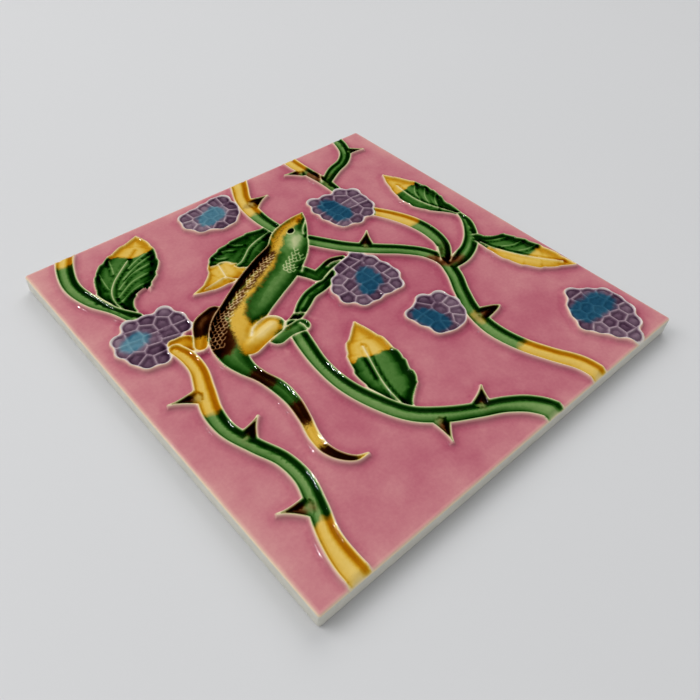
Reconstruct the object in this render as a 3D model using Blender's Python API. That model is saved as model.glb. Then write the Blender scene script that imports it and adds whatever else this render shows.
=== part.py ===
"""A square relief tile: a lizard climbing bramble stems with thorns, leaves and berries.

The tile lies on its back with the relief up. The origin is the centre of the back, X runs
along the bottom edge of the picture, Y towards its top, Z out of the relief.
"""
import math

import bpy
import bmesh
import numpy as np
from mathutils import Vector
from mathutils.geometry import delaunay_2d_cdt

# The body, in metres
TILE_SIDE = 0.1524
BODY_THICKNESS = 0.0065
CORNER_RADIUS = 0.0009
ARRIS_RADIUS = 0.0008

# Keying grooves in the back, in metres
KEY_WIDTH = 0.008
KEY_DEPTH = 0.001
KEY_SLOPE = 0.0006
KEY_LAND = 0.010
KEY_RIM = 0.010

# The relief, as heights above the ground of the face and widths in plan, in metres
RIDGE_HEIGHT = 0.0013
WALL_WIDTH = 0.0009
POOL_WIDTH = 0.0011
STEM_POOL_HEIGHT = 0.0006
STEM_CROWN_HEIGHT = 0.0012
STEM_CROWN_WIDTH = 0.0016
LEAF_POOL_HEIGHT = 0.0005
LEAF_CROWN_HEIGHT = 0.0010
LEAF_CROWN_WIDTH = 0.0030
VEIN_HEIGHT = 0.0013
VEIN_FOOT_WIDTH = 0.0006
VEIN_TOP_WIDTH = 0.0002
BERRY_POOL_HEIGHT = 0.0006
BERRY_CROWN_HEIGHT = 0.0012
BERRY_CROWN_WIDTH = 0.0012
LIZARD_POOL_HEIGHT = 0.0006
LIZARD_CROWN_HEIGHT = 0.0021
LIZARD_CROWN_WIDTH = 0.0060
EYE_RADIUS = 0.0013
EYE_HEIGHT = 0.0003
RELIEF_RIM = 0.0022

# The picture is drawn in shares of the tile: one unit is 1 mm on a tile of this side
DRAWING_SIDE = 152.4
UNIT = TILE_SIDE / DRAWING_SIDE
WALL = WALL_WIDTH / UNIT
POOL = POOL_WIDTH / UNIT

# Spacing of the modelled points, in drawing units
CURVE_STEP = 1.0
STATION_STEP = 3.2
LEAF_STEP = 2.6
BERRY_STEP = 1.5
POINT_GAP = 0.5
GROUND_GRID = 13.0
LINE_STRAY = 0.3

# Faces lying on the outline to within this many metres have no area and are left out
ON_OUTLINE = 1e-8

# Parts of round and straight runs in plan
SIDE_PARTS = 12
CORNER_PARTS = 4
EYE_PARTS = 8
DRUPELET_PARTS = 6

GLAZE_COLOUR = (0.45, 0.17, 0.19, 1.0)
GLAZE_ROUGHNESS = 0.15

# A band follows stations of x, y and half width, or x, y, left and right half widths
STEM_UPPER_LEFT = ((-59.8, 78.5, 3.0), (-64.3, 70.0, 3.0), (-67.0, 59.0, 2.8), (-65.3, 49.0, 2.6),
                   (-61.8, 40.5, 1.7), (-58.4, 33.4, 2.5))
STEM_UPPER_MIDDLE = ((13.4, 78.5, 3.5), (10.2, 72.0, 3.3), (6.5, 65.0, 3.1), (4.6, 57.0, 3.1),
                     (4.1, 50.0, 2.9), (4.7, 42.0, 2.7))
STEM_UPPER_RIGHT = ((37.5, 78.5, 2.8), (37.2, 70.0, 2.9), (38.0, 62.0, 2.4), (38.8, 54.0, 2.4),
                    (38.4, 46.2, 2.1))
STEM_TOP_RIGHT = ((64.2, 78.5, 2.4), (62.5, 71.0, 2.5), (59.6, 65.0, 2.4), (54.3, 60.6, 2.4),
                  (47.5, 58.2, 2.6), (40.0, 54.0, 2.2))
STEM_MAIN = ((9.6, 29.5, 2.9), (18.3, 17.3, 2.9), (25.1, 10.5, 2.9), (32.2, 4.0, 2.75),
             (37.4, -2.8, 2.7), (38.8, -9.6, 2.7), (36.8, -15.7, 2.8), (31.6, -24.2, 2.8),
             (27.4, -32.5, 2.9), (25.6, -42.0, 3.1), (27.2, -52.0, 3.0), (31.2, -61.5, 3.0),
             (35.2, -69.5, 3.2), (36.1, -79.0, 3.3))
STEM_TO_BERRY = ((40.0, 27.5, 2.5), (43.8, 20.8, 2.9), (46.7, 13.0, 3.2), (47.4, 5.0, 3.1),
                 (45.6, -2.6, 2.7), (40.5, -8.5, 2.4))
STEM_TO_LEAF = ((38.5, -12.3, 2.6), (45.0, -11.9, 3.1), (51.0, -10.2, 2.9), (56.0, -7.2, 2.7),
                (60.3, -3.0, 2.4), (63.3, 1.5, 1.9), (64.4, 5.5, 1.0))
STEM_LEFT = ((-56.2, 13.9, 2.2), (-55.2, 9.5, 2.6), (-55.4, 3.5, 2.7), (-58.5, -5.0, 3.0),
             (-61.5, -13.5, 3.0), (-62.0, -20.0, 2.75), (-59.2, -30.0, 2.6), (-56.1, -38.5, 2.55),
             (-55.8, -46.0, 2.65), (-58.4, -54.5, 2.85), (-61.6, -63.0, 3.0), (-62.9, -71.0, 3.5),
             (-62.8, -79.0, 3.6))
STEM_LOWER = ((-22.0, -1.0, 2.8), (-24.2, -9.0, 2.9), (-26.2, -19.0, 2.6), (-26.3, -29.0, 2.7),
              (-23.7, -39.5, 2.9), (-18.5, -50.0, 2.9), (-12.3, -55.5, 3.0), (-3.5, -60.8, 2.8),
              (4.5, -64.8, 3.0), (10.5, -69.7, 3.4), (13.4, -74.5, 3.7), (14.0, -79.0, 3.8))
STEM_UNDERFOOT = ((-26.0, -0.2, 1.5), (-18.0, 1.8, 1.8), (-13.0, 4.7, 2.4), (-8.5, 6.9, 2.3),
                  (-3.5, 7.6, 2.4), (1.0, 8.6, 2.0), (5.0, 11.0, 1.0))

# Thorns: middle of the base, half width there, tip, and how hollow the taper is
THORN_UPPER_MIDDLE = ((7.2, 60.2), 3.8, (15.4, 61.0), 1.6)
THORN_UPPER_RIGHT = ((35.6, 65.0), 2.7, (29.4, 67.6), 1.4)
THORN_TOP_RIGHT = ((62.0, 65.2), 2.4, (67.8, 62.6), 1.4)
THORN_MAIN_UPPER = ((23.6, 14.2), 3.2, (29.8, 20.4), 1.4)
THORN_MAIN_HOOK = ((27.6, -35.4), 3.2, (36.2, -36.6), 0.7)
THORN_LEFT_UPPER = ((-61.2, -6.0), 3.2, (-69.6, -3.2), 1.6)
THORN_LEFT_MIDDLE = ((-59.2, -26.4), 3.2, (-52.4, -22.2), 1.6)
THORN_LEFT_LOWER = ((-59.8, -53.6), 3.6, (-67.6, -50.0), 1.6)
THORN_LOWER_LEFT = ((-14.0, -56.4), 3.0, (-17.0, -63.4), 1.4)
THORN_LOWER_RIGHT = ((-0.8, -60.4), 3.3, (4.6, -55.3), 1.4)
THORN_PLACES = (0.0, 0.3, 0.6, 0.85, 1.0)
THORN_TIP_WIDTH = 0.2

# Leaves, from the stalk to the tip along the midrib
LEAF_UPPER_LEFT = ((-58.8, 37.0, 0.8, 2.6), (-59.4, 42.5, 1.6, 6.2), (-57.5, 49.5, 5.4, 11.0),
                   (-52.8, 54.3, 8.0, 12.0), (-46.5, 59.5, 7.7, 11.0), (-41.5, 64.5, 5.0, 7.6),
                   (-38.8, 67.6, 2.3, 4.4), (-37.0, 70.0, 0.3, 0.3))
LEAF_MIDDLE = ((1.8, 43.0, 2.0, 2.6), (-5.8, 40.6, 6.0, 6.6), (-13.2, 37.1, 6.5, 9.5),
               (-19.0, 34.6, 6.3, 9.8), (-26.0, 31.9, 3.9, 6.7), (-32.0, 31.2, 2.4, 2.4),
               (-37.8, 31.1, 0.3, 0.3))
LEAF_RIGHT = ((64.6, 4.6, 0.9, 0.9), (63.2, 9.0, 1.5, 3.2), (60.4, 14.0, 2.6, 7.4),
              (58.6, 20.5, 4.4, 9.7), (58.1, 27.5, 4.2, 9.8), (58.8, 34.5, 2.7, 7.2),
              (59.6, 39.0, 1.7, 3.6), (60.2, 42.8, 0.3, 0.3))
LEAF_LOWER_RIGHT = ((57.9, -9.0, 3.0, 1.8), (57.9, -13.0, 8.5, 1.9), (59.8, -20.0, 10.2, 3.8),
                    (63.4, -26.5, 9.8, 5.1), (68.0, -32.5, 6.6, 4.4), (71.0, -36.5, 3.4, 2.3),
                    (73.7, -40.2, 0.3, 0.3))
LEAF_LOWER = ((-18.3, -47.5, 0.8, 2.2), (-18.1, -41.0, 2.4, 9.6), (-16.5, -33.5, 5.4, 10.6),
              (-13.9, -26.5, 5.9, 10.4), (-10.3, -20.0, 5.0, 7.1), (-8.3, -16.0, 2.4, 3.9),
              (-6.2, -12.0, 0.3, 0.3))
# Side veins lie a pitch apart and reach the edge a lead further on, each at a tooth
VEIN_PITCH = 6.0
VEIN_LEAD = 7.0
VEIN_SLANT = math.radians(41.0)
VEIN_PLACES = (0.3, 0.6, 0.85)
TOOTH_HEIGHT = 0.7
TOOTH_RISE = 0.8
TOOTHED_WIDTH = 5.0

# Berries: rows of drupelets, each from one end to the other with a count
BERRY_LEFT = ((-61.8, 31.2, -50.6, 30.2, 3), (-67.8, 27.4, -48.8, 25.8, 5),
              (-69.0, 22.6, -49.2, 21.4, 5), (-67.0, 18.0, -54.5, 17.6, 3),
              (-65.2, 14.2, -60.8, 13.4, 2))
BERRY_TOP = ((-17.4, 68.0, -12.6, 68.6, 2), (-8.2, 69.6, 1.0, 69.0, 3), (-17.8, 63.4, 0.4, 64.0, 5),
             (-16.4, 59.8, -2.2, 60.2, 4), (-9.6, 56.8, -4.6, 57.0, 2))
BERRY_RIGHT = ((26.2, 45.6, 37.8, 44.6, 3), (24.2, 41.0, 42.0, 41.0, 4),
               (24.0, 36.6, 42.2, 36.4, 4), (25.6, 32.6, 41.2, 32.2, 4),
               (26.8, 29.0, 32.0, 27.5, 2), (38.2, 28.5, 38.2, 28.5, 1))
BERRY_MIDDLE = ((8.0, 10.4, 17.2, 12.0, 3), (3.4, 6.4, 18.6, 7.4, 4), (-0.1, 2.4, 20.0, 2.4, 5),
                (0.1, -2.2, 19.8, -2.6, 5), (3.2, -6.2, 18.0, -6.8, 4))
BERRY_SMALL = ((10.5, -22.0, 15.0, -21.0, 2), (19.2, -19.4, 23.9, -20.4, 2),
               (11.2, -26.4, 24.6, -25.4, 4), (13.0, -30.6, 23.6, -29.8, 3),
               (16.0, -32.2, 20.4, -32.4, 2))
BERRY_LOWER_RIGHT = ((59.6, -48.9, 59.6, -48.9, 1), (55.0, -52.4, 64.4, -52.0, 3),
                     (52.2, -56.4, 67.8, -55.8, 4), (50.9, -60.2, 68.8, -59.8, 5),
                     (52.6, -64.4, 67.4, -64.6, 4), (55.6, -68.8, 64.0, -69.0, 3),
                     (59.4, -73.2, 59.4, -73.2, 1))
DRUPELET_RADIUS = 2.8
ROW_HALF_WIDTH = 2.45

# The lizard, from nose to tail, and its legs
LIZARD_BODY = ((18.2, 43.6, 0.4), (15.4, 41.8, 2.5), (11.2, 39.2, 4.7), (6.0, 35.6, 6.6),
               (0.5, 30.2, 7.4), (-8.5, 25.2, 8.6), (-19.4, 20.2, 8.5), (-28.9, 15.2, 8.0),
               (-37.2, 9.6, 8.0), (-42.0, 4.6, 6.7), (-44.3, -0.6, 4.5), (-44.3, -5.5, 3.2),
               (-43.0, -11.0, 2.3), (-41.5, -17.5, 2.6), (-41.5, -24.5, 2.3), (-43.0, -31.5, 1.9),
               (-45.0, -38.0, 1.8), (-45.3, -43.0, 1.65), (-43.6, -47.6, 1.35),
               (-40.8, -50.6, 0.9), (-37.4, -51.4, 0.25))
LIZARD_THIGH = ((-38.0, 1.6, 4.6), (-32.0, 2.9, 4.3), (-27.0, 3.6, 4.2))
LIZARD_UPPER_ARM = ((-4.5, 20.0, 3.0), (-2.2, 15.5, 2.6), (-0.9, 12.2, 2.4))
LIZARD_FOREARM = ((-1.1, 12.3, 2.4), (3.6, 13.8, 2.2), (8.6, 14.9, 2.1), (12.6, 14.6, 1.0))
LIZARD_SHIN = ((-29.0, -1.6, 3.3), (-24.0, -2.0, 2.3), (-20.0, -2.4, 2.8))
LIZARD_FAR_THIGH = ((-38.0, 19.6, 3.2), (-43.4, 18.0, 3.1), (-46.8, 13.8, 2.7), (-49.4, 10.4, 2.2))
LIZARD_FAR_SHIN = ((-50.2, 10.6, 2.4), (-52.2, 14.2, 3.2), (-55.4, 15.8, 2.2))
LIZARD_EYE = (7.9, 38.1)
# The line along its back, as a share of the crown's width in from the pool
BACK_LINE_SHARE = 0.4

# Short ridges where one limb or stem parts from another, from end to end
PARTING_BERRY_STEM = ((43.2, -2.6), (38.6, -8.4))
PARTING_LEAF_STEM = ((46.0, -8.6), (40.6, -10.8))
PARTING_TOP_STEMS = ((41.2, 60.0), (38.2, 55.4))
PARTING_THIGH = ((-35.4, 3.6), (-33.4, 5.5), (-30.6, 7.2))
PARTING_FINGERS = ((4.6, 14.2), (8.0, 14.8), (11.4, 14.6))
PARTING_JAW = ((16.1, 38.2), (14.0, 36.0), (11.5, 33.5))


def stations_of(band):
    """A band's stations as rows of x, y, left and right half widths."""
    rows = [row if len(row) == 4 else (row[0], row[1], row[2], row[2]) for row in band]
    return np.array(rows, dtype=float)


def smooth_run(rows, step):
    """Rows read along a smooth curve through the given rows, about a step apart."""
    gaps = np.hypot(*(rows[1:, :2] - rows[:-1, :2]).T)
    along = np.concatenate(([0.0], np.cumsum(gaps)))
    rate = (rows[1:] - rows[:-1]) / gaps[:, None]
    slope = np.empty_like(rows)
    slope[0], slope[-1] = rate[0], rate[-1]
    before, after = gaps[:-1, None], gaps[1:, None]
    slope[1:-1] = (rate[:-1] * after + rate[1:] * before) / (before + after)
    places = np.linspace(0.0, along[-1], max(3, int(round(along[-1] / step)) + 1))
    index = np.clip(np.searchsorted(along, places, side="right") - 1, 0, len(gaps) - 1)
    gap = gaps[index][:, None]
    t = ((places - along[index]) / gaps[index])[:, None]
    return ((2 * t**3 - 3 * t**2 + 1) * rows[index] + (t**3 - 2 * t**2 + t) * gap * slope[index]
            + (3 * t**2 - 2 * t**3) * rows[index + 1] + (t**3 - t**2) * gap * slope[index + 1])


def thorn_band(thorn):
    """A thorn as a band that narrows from its base to its tip."""
    (x, y), half_width, (tip_x, tip_y), hollow = thorn
    return tuple((x + s * (tip_x - x), y + s * (tip_y - y),
                  THORN_TIP_WIDTH + (half_width - THORN_TIP_WIDTH) * (1.0 - s)**hollow)
                 for s in THORN_PLACES)


def drupelet_centres(rows):
    """The middles of a berry's drupelets."""
    centres = []
    for x0, y0, x1, y1, count in rows:
        for share in (np.linspace(0.0, 1.0, count) if count > 1 else (0.0,)):
            centres.append((x0 + share * (x1 - x0), y0 + share * (y1 - y0)))
    return np.array(centres)


def circle(radius, parts):
    """Points round a circle about the origin, its first point given again at the end."""
    turn = np.linspace(0.0, 2 * math.pi, parts + 1)
    return radius * np.column_stack((np.cos(turn), np.sin(turn)))


def runs_of(line, *tests):
    """The stretches of a line whose points pass the tests."""
    keep = np.logical_and.reduce(tests)
    run = []
    for point, good in zip(line, keep):
        if good:
            run.append(point)
        elif run:
            yield np.array(run)
            run = []
    if run:
        yield np.array(run)


def edge_profile(depth, pool, crown, crown_width):
    """Heights across a form's edge: wall, raised outline, pool inside it and crown."""
    wall = 0.5 + 0.5 * np.cos(math.pi * np.clip(-depth / WALL, 0.0, 1.0))
    fall = 0.5 - 0.5 * np.cos(math.pi * np.clip(depth / POOL, 0.0, 1.0))
    rise = np.sin(math.pi / 2 * np.clip((depth - POOL) * UNIT / crown_width, 0.0, 1.0))
    return RIDGE_HEIGHT * wall + (pool - RIDGE_HEIGHT) * fall + (crown - pool) * rise


class Band:
    """A run with a middle line and a half width on either side."""

    # Half of the stretch that directions and widths are read over
    REACH = 0.4
    STEEPEST_EDGE = 2.5
    NARROWEST_EDGE = 0.05
    SMALLEST_END = 0.3

    def __init__(self, stations, tooth_height=0.0):
        self.rows = smooth_run(stations_of(stations), CURVE_STEP)
        steps = np.hypot(*(self.rows[1:, :2] - self.rows[:-1, :2]).T)
        self.along = np.concatenate(([0.0], np.cumsum(steps)))
        self.tooth_height = tooth_height

    def half_width(self, along, left):
        """The half width at distances along the middle line, with the teeth of a leaf's edge."""
        width = np.where(left, np.interp(along, self.along, self.rows[:, 2]),
                         np.interp(along, self.along, self.rows[:, 3]))
        if self.tooth_height:
            phase = (along - VEIN_LEAD) / VEIN_PITCH % 1.0
            fall = (1.0 - phase) * TOOTH_RISE / (1.0 - TOOTH_RISE)
            tooth = np.minimum(phase, fall) - TOOTH_RISE / 2
            width = width + self.tooth_height * np.clip(width / TOOTHED_WIDTH, 0.0, 1.0) * tooth
        return width

    def slant(self, along, left):
        """How much longer the edge is than the middle line, where the width changes."""
        change = (self.half_width(along + self.REACH, left)
                  - self.half_width(along - self.REACH, left)) / (2 * self.REACH)
        return np.sqrt(1.0 + np.clip(change, -self.STEEPEST_EDGE, self.STEEPEST_EDGE)**2)

    def place(self, along):
        """The points at distances along the middle line."""
        return np.column_stack([np.interp(along, self.along, self.rows[:, k]) for k in (0, 1)])

    def across(self, along):
        """The directions square to the middle line, to its left."""
        ahead = self.place(along + self.REACH) - self.place(along - self.REACH)
        ahead /= np.hypot(*ahead.T)[:, None]
        return np.column_stack((-ahead[:, 1], ahead[:, 0]))

    def measure(self, points):
        """Each point's depth inside the edge, its distance along and its signed distance off."""
        start, run = self.rows[:-1, :2], self.rows[1:, :2] - self.rows[:-1, :2]
        length = (run**2).sum(1)
        offset = points[:, None, :] - start[None]
        share = np.clip((offset * run).sum(2) / length, 0.0, 1.0)
        away = offset - share[:, :, None] * run
        distance = np.sqrt((away**2).sum(2))
        nearest = distance.argmin(1)
        row = np.arange(len(points))
        share, away, distance = share[row, nearest], away[row, nearest], distance[row, nearest]
        left = run[nearest, 0] * away[:, 1] - run[nearest, 1] * away[:, 0] > 0
        along = self.along[nearest] + share * np.sqrt(length[nearest])
        depth = (self.half_width(along, left) - distance) / self.slant(along, left)
        return depth, along, np.where(left, distance, -distance)

    def depth(self, points):
        """Each point's depth inside the edge, below zero outside it."""
        return self.measure(points)[0]

    def spaced(self, step):
        """Distances along the middle line, about a step apart."""
        return np.linspace(0.0, self.along[-1], max(3, int(round(self.along[-1] / step)) + 1))

    def side_lines(self, outwards, step):
        """The two lines that run a distance outwards of the edges."""
        along = self.spaced(step)
        for side, left in ((1, True), (-1, False)):
            reach = self.half_width(along, left) + outwards * self.slant(along, left)
            line = self.place(along) + side * reach[:, None] * self.across(along)
            yield line[reach > self.NARROWEST_EDGE]

    def end_lines(self, outwards, step):
        """The arcs that run a distance outwards of the two ends."""
        for end, along, sign in ((0, 0.0, -1), (-1, self.along[-1], 1)):
            radius = self.rows[end, 2] + outwards
            if radius > self.SMALLEST_END:
                across = self.across(np.array([along]))[0]
                ahead = sign * np.array((across[1], -across[0]))
                count = max(3, int(math.pi * radius / step) + 2)
                turn = np.linspace(-math.pi / 2, math.pi / 2, count)[:, None]
                middle = self.place(np.array([along]))[0]
                yield middle + radius * (np.cos(turn) * ahead + np.sin(turn) * across)

    def middle_line(self, step):
        """The middle line's points, about a step apart."""
        return self.place(self.spaced(step))


class Form:
    """Bands that grow into each other, with one pool and crown."""

    def __init__(self, bands, pool, crown, crown_width, step=STATION_STEP):
        self.bands = bands
        self.pool, self.crown, self.crown_width = pool, crown, crown_width
        self.step = step

    def depth(self, points):
        """Each point's depth inside the form's edge, below zero outside it."""
        return np.max([band.depth(points) for band in self.bands], axis=0)

    def height(self, points, depth):
        """The form's own height above the ground."""
        return edge_profile(depth, self.pool, self.crown, self.crown_width)

    def lines(self):
        """Lines that the modelled points follow: toe, raised outline, pool and middle."""
        for outwards in (WALL, 0.0, -POOL):
            for band in self.bands:
                for line in (*band.side_lines(outwards, self.step),
                             *band.end_lines(outwards, self.step)):
                    yield from runs_of(line, np.abs(self.depth(line) + outwards) < LINE_STRAY)
        for band in self.bands:
            line = band.middle_line(self.step)
            yield from runs_of(line, self.depth(line) > POOL + POINT_GAP)


class Parting(Form):
    """A ridge with no width between its two walls."""

    def __init__(self, run):
        super().__init__([Band([(x, y, 0.0) for x, y in run])], 0.0, 0.0, STEM_CROWN_WIDTH)

    def lines(self):
        yield self.bands[0].middle_line(self.step)
        yield from self.bands[0].side_lines(WALL, self.step)


class Lizard(Form):
    """The lizard's near side, with its eye and a line along its broad back."""

    def height(self, points, depth):
        away = np.hypot(*(points - np.array(LIZARD_EYE)).T) * UNIT / EYE_RADIUS
        return super().height(points, depth) + EYE_HEIGHT * np.clip(1.5 - away, 0.0, 1.0)

    def lines(self):
        yield from super().lines()
        inwards = POOL + BACK_LINE_SHARE * self.crown_width / UNIT
        for line in self.bands[0].side_lines(-inwards, self.step):
            yield from runs_of(line, np.abs(self.depth(line) - inwards) < LINE_STRAY)
        for share in (0.5, 1.5):
            yield np.array(LIZARD_EYE) + circle(share * EYE_RADIUS / UNIT, EYE_PARTS)


class Leaf(Form):
    """A leaf with a midrib and side veins that run out to its teeth."""

    def __init__(self, stations):
        super().__init__([Band(stations, TOOTH_HEIGHT)], LEAF_POOL_HEIGHT, LEAF_CROWN_HEIGHT,
                         LEAF_CROWN_WIDTH, LEAF_STEP)

    def height(self, points, depth):
        blade = super().height(points, depth)
        rib = self.bands[0]
        _, along, off = rib.measure(points)
        share = np.abs(off) / np.maximum(rib.half_width(along, off > 0), TOOTH_HEIGHT)
        phase = (along - VEIN_LEAD * share) / VEIN_PITCH
        to_side_vein = np.abs(phase - np.round(phase)) * VEIN_PITCH * math.cos(VEIN_SLANT)
        beside = np.minimum(to_side_vein, np.abs(off)) * UNIT
        flank = (VEIN_FOOT_WIDTH - beside) / (VEIN_FOOT_WIDTH - VEIN_TOP_WIDTH)
        vein = VEIN_HEIGHT * np.clip(flank, 0.0, 1.0)
        return np.where(depth > 0, np.maximum(blade, vein), blade)

    def lines(self):
        yield from super().lines()
        rib = self.bands[0]
        shares = np.array(VEIN_PLACES)
        for first in np.arange(VEIN_PITCH / 2, rib.along[-1] - VEIN_LEAD, VEIN_PITCH / 2):
            along = first + VEIN_LEAD * shares
            for side, left in ((1, True), (-1, False)):
                off = side * shares * rib.half_width(along, left)
                line = rib.place(along) + off[:, None] * rib.across(along)
                yield from runs_of(line, self.depth(line) > POOL / 2)


class Berry(Form):
    """Rows of drupelets, parted by ridges."""

    def __init__(self, rows):
        runs = [Band(((x0, y0, ROW_HALF_WIDTH), (x1, y1, ROW_HALF_WIDTH)))
                for x0, y0, x1, y1, count in rows if count > 1]
        super().__init__(runs, BERRY_POOL_HEIGHT, BERRY_CROWN_HEIGHT, BERRY_CROWN_WIDTH, BERRY_STEP)
        self.centres = drupelet_centres(rows)

    def distances(self, points):
        """The distance of each point from each drupelet's middle."""
        return np.hypot(points[:, None, 0] - self.centres[None, :, 0],
                        points[:, None, 1] - self.centres[None, :, 1])

    def depth(self, points):
        return np.maximum(super().depth(points), DRUPELET_RADIUS - self.distances(points).min(1))

    def parting_depth(self, points):
        """The distance from the ridge between the two nearest drupelets."""
        distances = self.distances(points)
        order = np.argsort(distances, axis=1)[:, :2]
        row = np.arange(len(points))
        near, far = distances[row, order[:, 0]], distances[row, order[:, 1]]
        apart = np.hypot(*(self.centres[order[:, 0]] - self.centres[order[:, 1]]).T)
        return (far**2 - near**2) / (2 * apart)

    def height(self, points, depth):
        within = np.where(depth > 0, np.minimum(depth, self.parting_depth(points)), depth)
        return super().height(points, within)

    def lines(self):
        for outwards in (WALL, 0.0):
            radius = DRUPELET_RADIUS + outwards
            ring = circle(radius, int(2 * math.pi * radius / self.step))
            rims = [ring + centre for centre in self.centres]
            for band in self.bands:
                rims.extend(band.side_lines(outwards, self.step))
            for line in rims:
                yield from runs_of(line, np.abs(self.depth(line) + outwards) < LINE_STRAY)
        for number, centre in enumerate(self.centres):
            gaps = np.hypot(*(self.centres - centre).T)
            yield centre + circle(np.sort(gaps)[1] / 2 - POOL, DRUPELET_PARTS)
            yield centre[None, :]
            for other in self.centres[number + 1:]:
                yield from self.parting_line(centre, other)

    def parting_line(self, centre, other):
        """The ridge between two drupelets, where no third one lies nearer."""
        apart = other - centre
        across = np.array((-apart[1], apart[0])) / np.hypot(*apart)
        reach = np.linspace(-DRUPELET_RADIUS, DRUPELET_RADIUS, 2 * round(DRUPELET_RADIUS / self.step) + 1)
        line = (centre + other) / 2 + reach[:, None] * across
        own = np.hypot(*(line - centre).T)
        yield from runs_of(line, self.distances(line).min(1) > own - POINT_GAP / 2,
                           self.depth(line) > 0)


def stem(*bands, thorns=()):
    """Stems that branch from each other, with their thorns."""
    parts = [Band(band) for band in bands] + [Band(thorn_band(thorn)) for thorn in thorns]
    return Form(parts, STEM_POOL_HEIGHT, STEM_CROWN_HEIGHT, STEM_CROWN_WIDTH)


def limb(stations):
    """A leg of the lizard that lies behind or before its body."""
    return Form([Band(stations)], LIZARD_POOL_HEIGHT, STEM_CROWN_HEIGHT, STEM_CROWN_WIDTH)


def relief_forms():
    """The forms of the picture, each laid over the ones before it."""
    body = [Band(part) for part in (LIZARD_BODY, LIZARD_THIGH, LIZARD_UPPER_ARM, LIZARD_FOREARM)]
    return (
        Leaf(LEAF_UPPER_LEFT),
        stem(STEM_UPPER_LEFT),
        Leaf(LEAF_MIDDLE),
        Berry(BERRY_TOP),
        stem(STEM_UPPER_MIDDLE, thorns=(THORN_UPPER_MIDDLE,)),
        stem(STEM_UNDERFOOT),
        Berry(BERRY_MIDDLE),
        Leaf(LEAF_RIGHT),
        stem(STEM_MAIN, STEM_TO_BERRY, STEM_TO_LEAF, thorns=(THORN_MAIN_UPPER, THORN_MAIN_HOOK)),
        stem(STEM_UPPER_RIGHT, STEM_TOP_RIGHT, thorns=(THORN_UPPER_RIGHT, THORN_TOP_RIGHT)),
        Berry(BERRY_SMALL),
        Berry(BERRY_RIGHT),
        Berry(BERRY_LOWER_RIGHT),
        Leaf(LEAF_LOWER_RIGHT),
        Leaf(LEAF_LOWER),
        stem(STEM_LOWER, thorns=(THORN_LOWER_LEFT, THORN_LOWER_RIGHT)),
        Berry(BERRY_LEFT),
        limb(LIZARD_FAR_SHIN),
        stem(STEM_LEFT, thorns=(THORN_LEFT_UPPER, THORN_LEFT_MIDDLE, THORN_LEFT_LOWER)),
        limb(LIZARD_FAR_THIGH),
        limb(LIZARD_SHIN),
        Lizard(body, LIZARD_POOL_HEIGHT, LIZARD_CROWN_HEIGHT, LIZARD_CROWN_WIDTH),
        Parting(PARTING_BERRY_STEM),
        Parting(PARTING_LEAF_STEM),
        Parting(PARTING_TOP_STEMS),
        Parting(PARTING_THIGH),
        Parting(PARTING_FINGERS),
        Parting(PARTING_JAW),
    )


def relief_height(forms, points):
    """Height of the relief above the ground at points of the drawing."""
    height = np.zeros(len(points))
    for form in forms:
        depth = form.depth(points)
        near = depth > -WALL
        own = form.height(points[near], depth[near])
        height[near] = np.where(depth[near] > 0, own, np.maximum(own, height[near]))
    return height


def plan_outline(inset):
    """The tile's outline in plan, a distance in from its edge, as points of the drawing."""
    half = TILE_SIDE / 2 - inset
    radius = max(CORNER_RADIUS - inset, CORNER_RADIUS / 10)
    turn = np.radians(np.linspace(0.0, 90.0, CORNER_PARTS + 1))
    arc = half - radius + radius * np.column_stack((np.cos(turn), np.sin(turn)))
    side = np.linspace(arc[-1], (-arc[-1][0], arc[-1][1]), SIDE_PARTS + 1)[1:-1]
    points = []
    for quarter in range(4):
        angle = quarter * math.pi / 2
        spin = np.array(((math.cos(angle), math.sin(angle)), (-math.sin(angle), math.cos(angle))))
        points.append(np.vstack((arc, side)) @ spin)
    return np.vstack(points) / UNIT


def inset_of(points):
    """How far points of the drawing lie inside the tile's outline, in metres."""
    past = np.abs(points) * UNIT - (TILE_SIDE / 2 - CORNER_RADIUS)
    outside = np.hypot(*np.maximum(past, 0.0).T)
    return CORNER_RADIUS - outside - np.minimum(past.max(1), 0.0)


def body_height(points):
    """Height of the ground of the face above the back, rounded off at the arris."""
    inset = np.clip(inset_of(points), 0.0, ARRIS_RADIUS)
    drop = ARRIS_RADIUS - np.sqrt(ARRIS_RADIUS**2 - (ARRIS_RADIUS - inset)**2)
    return BODY_THICKNESS - drop


def rim_share(points):
    """How much of the relief stands at points of the drawing: it sinks away towards the arris."""
    share = np.clip(inset_of(points) / RELIEF_RIM, 0.0, 1.0)
    return share**2 * (3 - 2 * share)


def gaps_between(points, others):
    """Each point's distance from the nearest of the others."""
    return np.hypot(*(points[:, None] - others[None]).transpose(2, 0, 1)).min(1)


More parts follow.
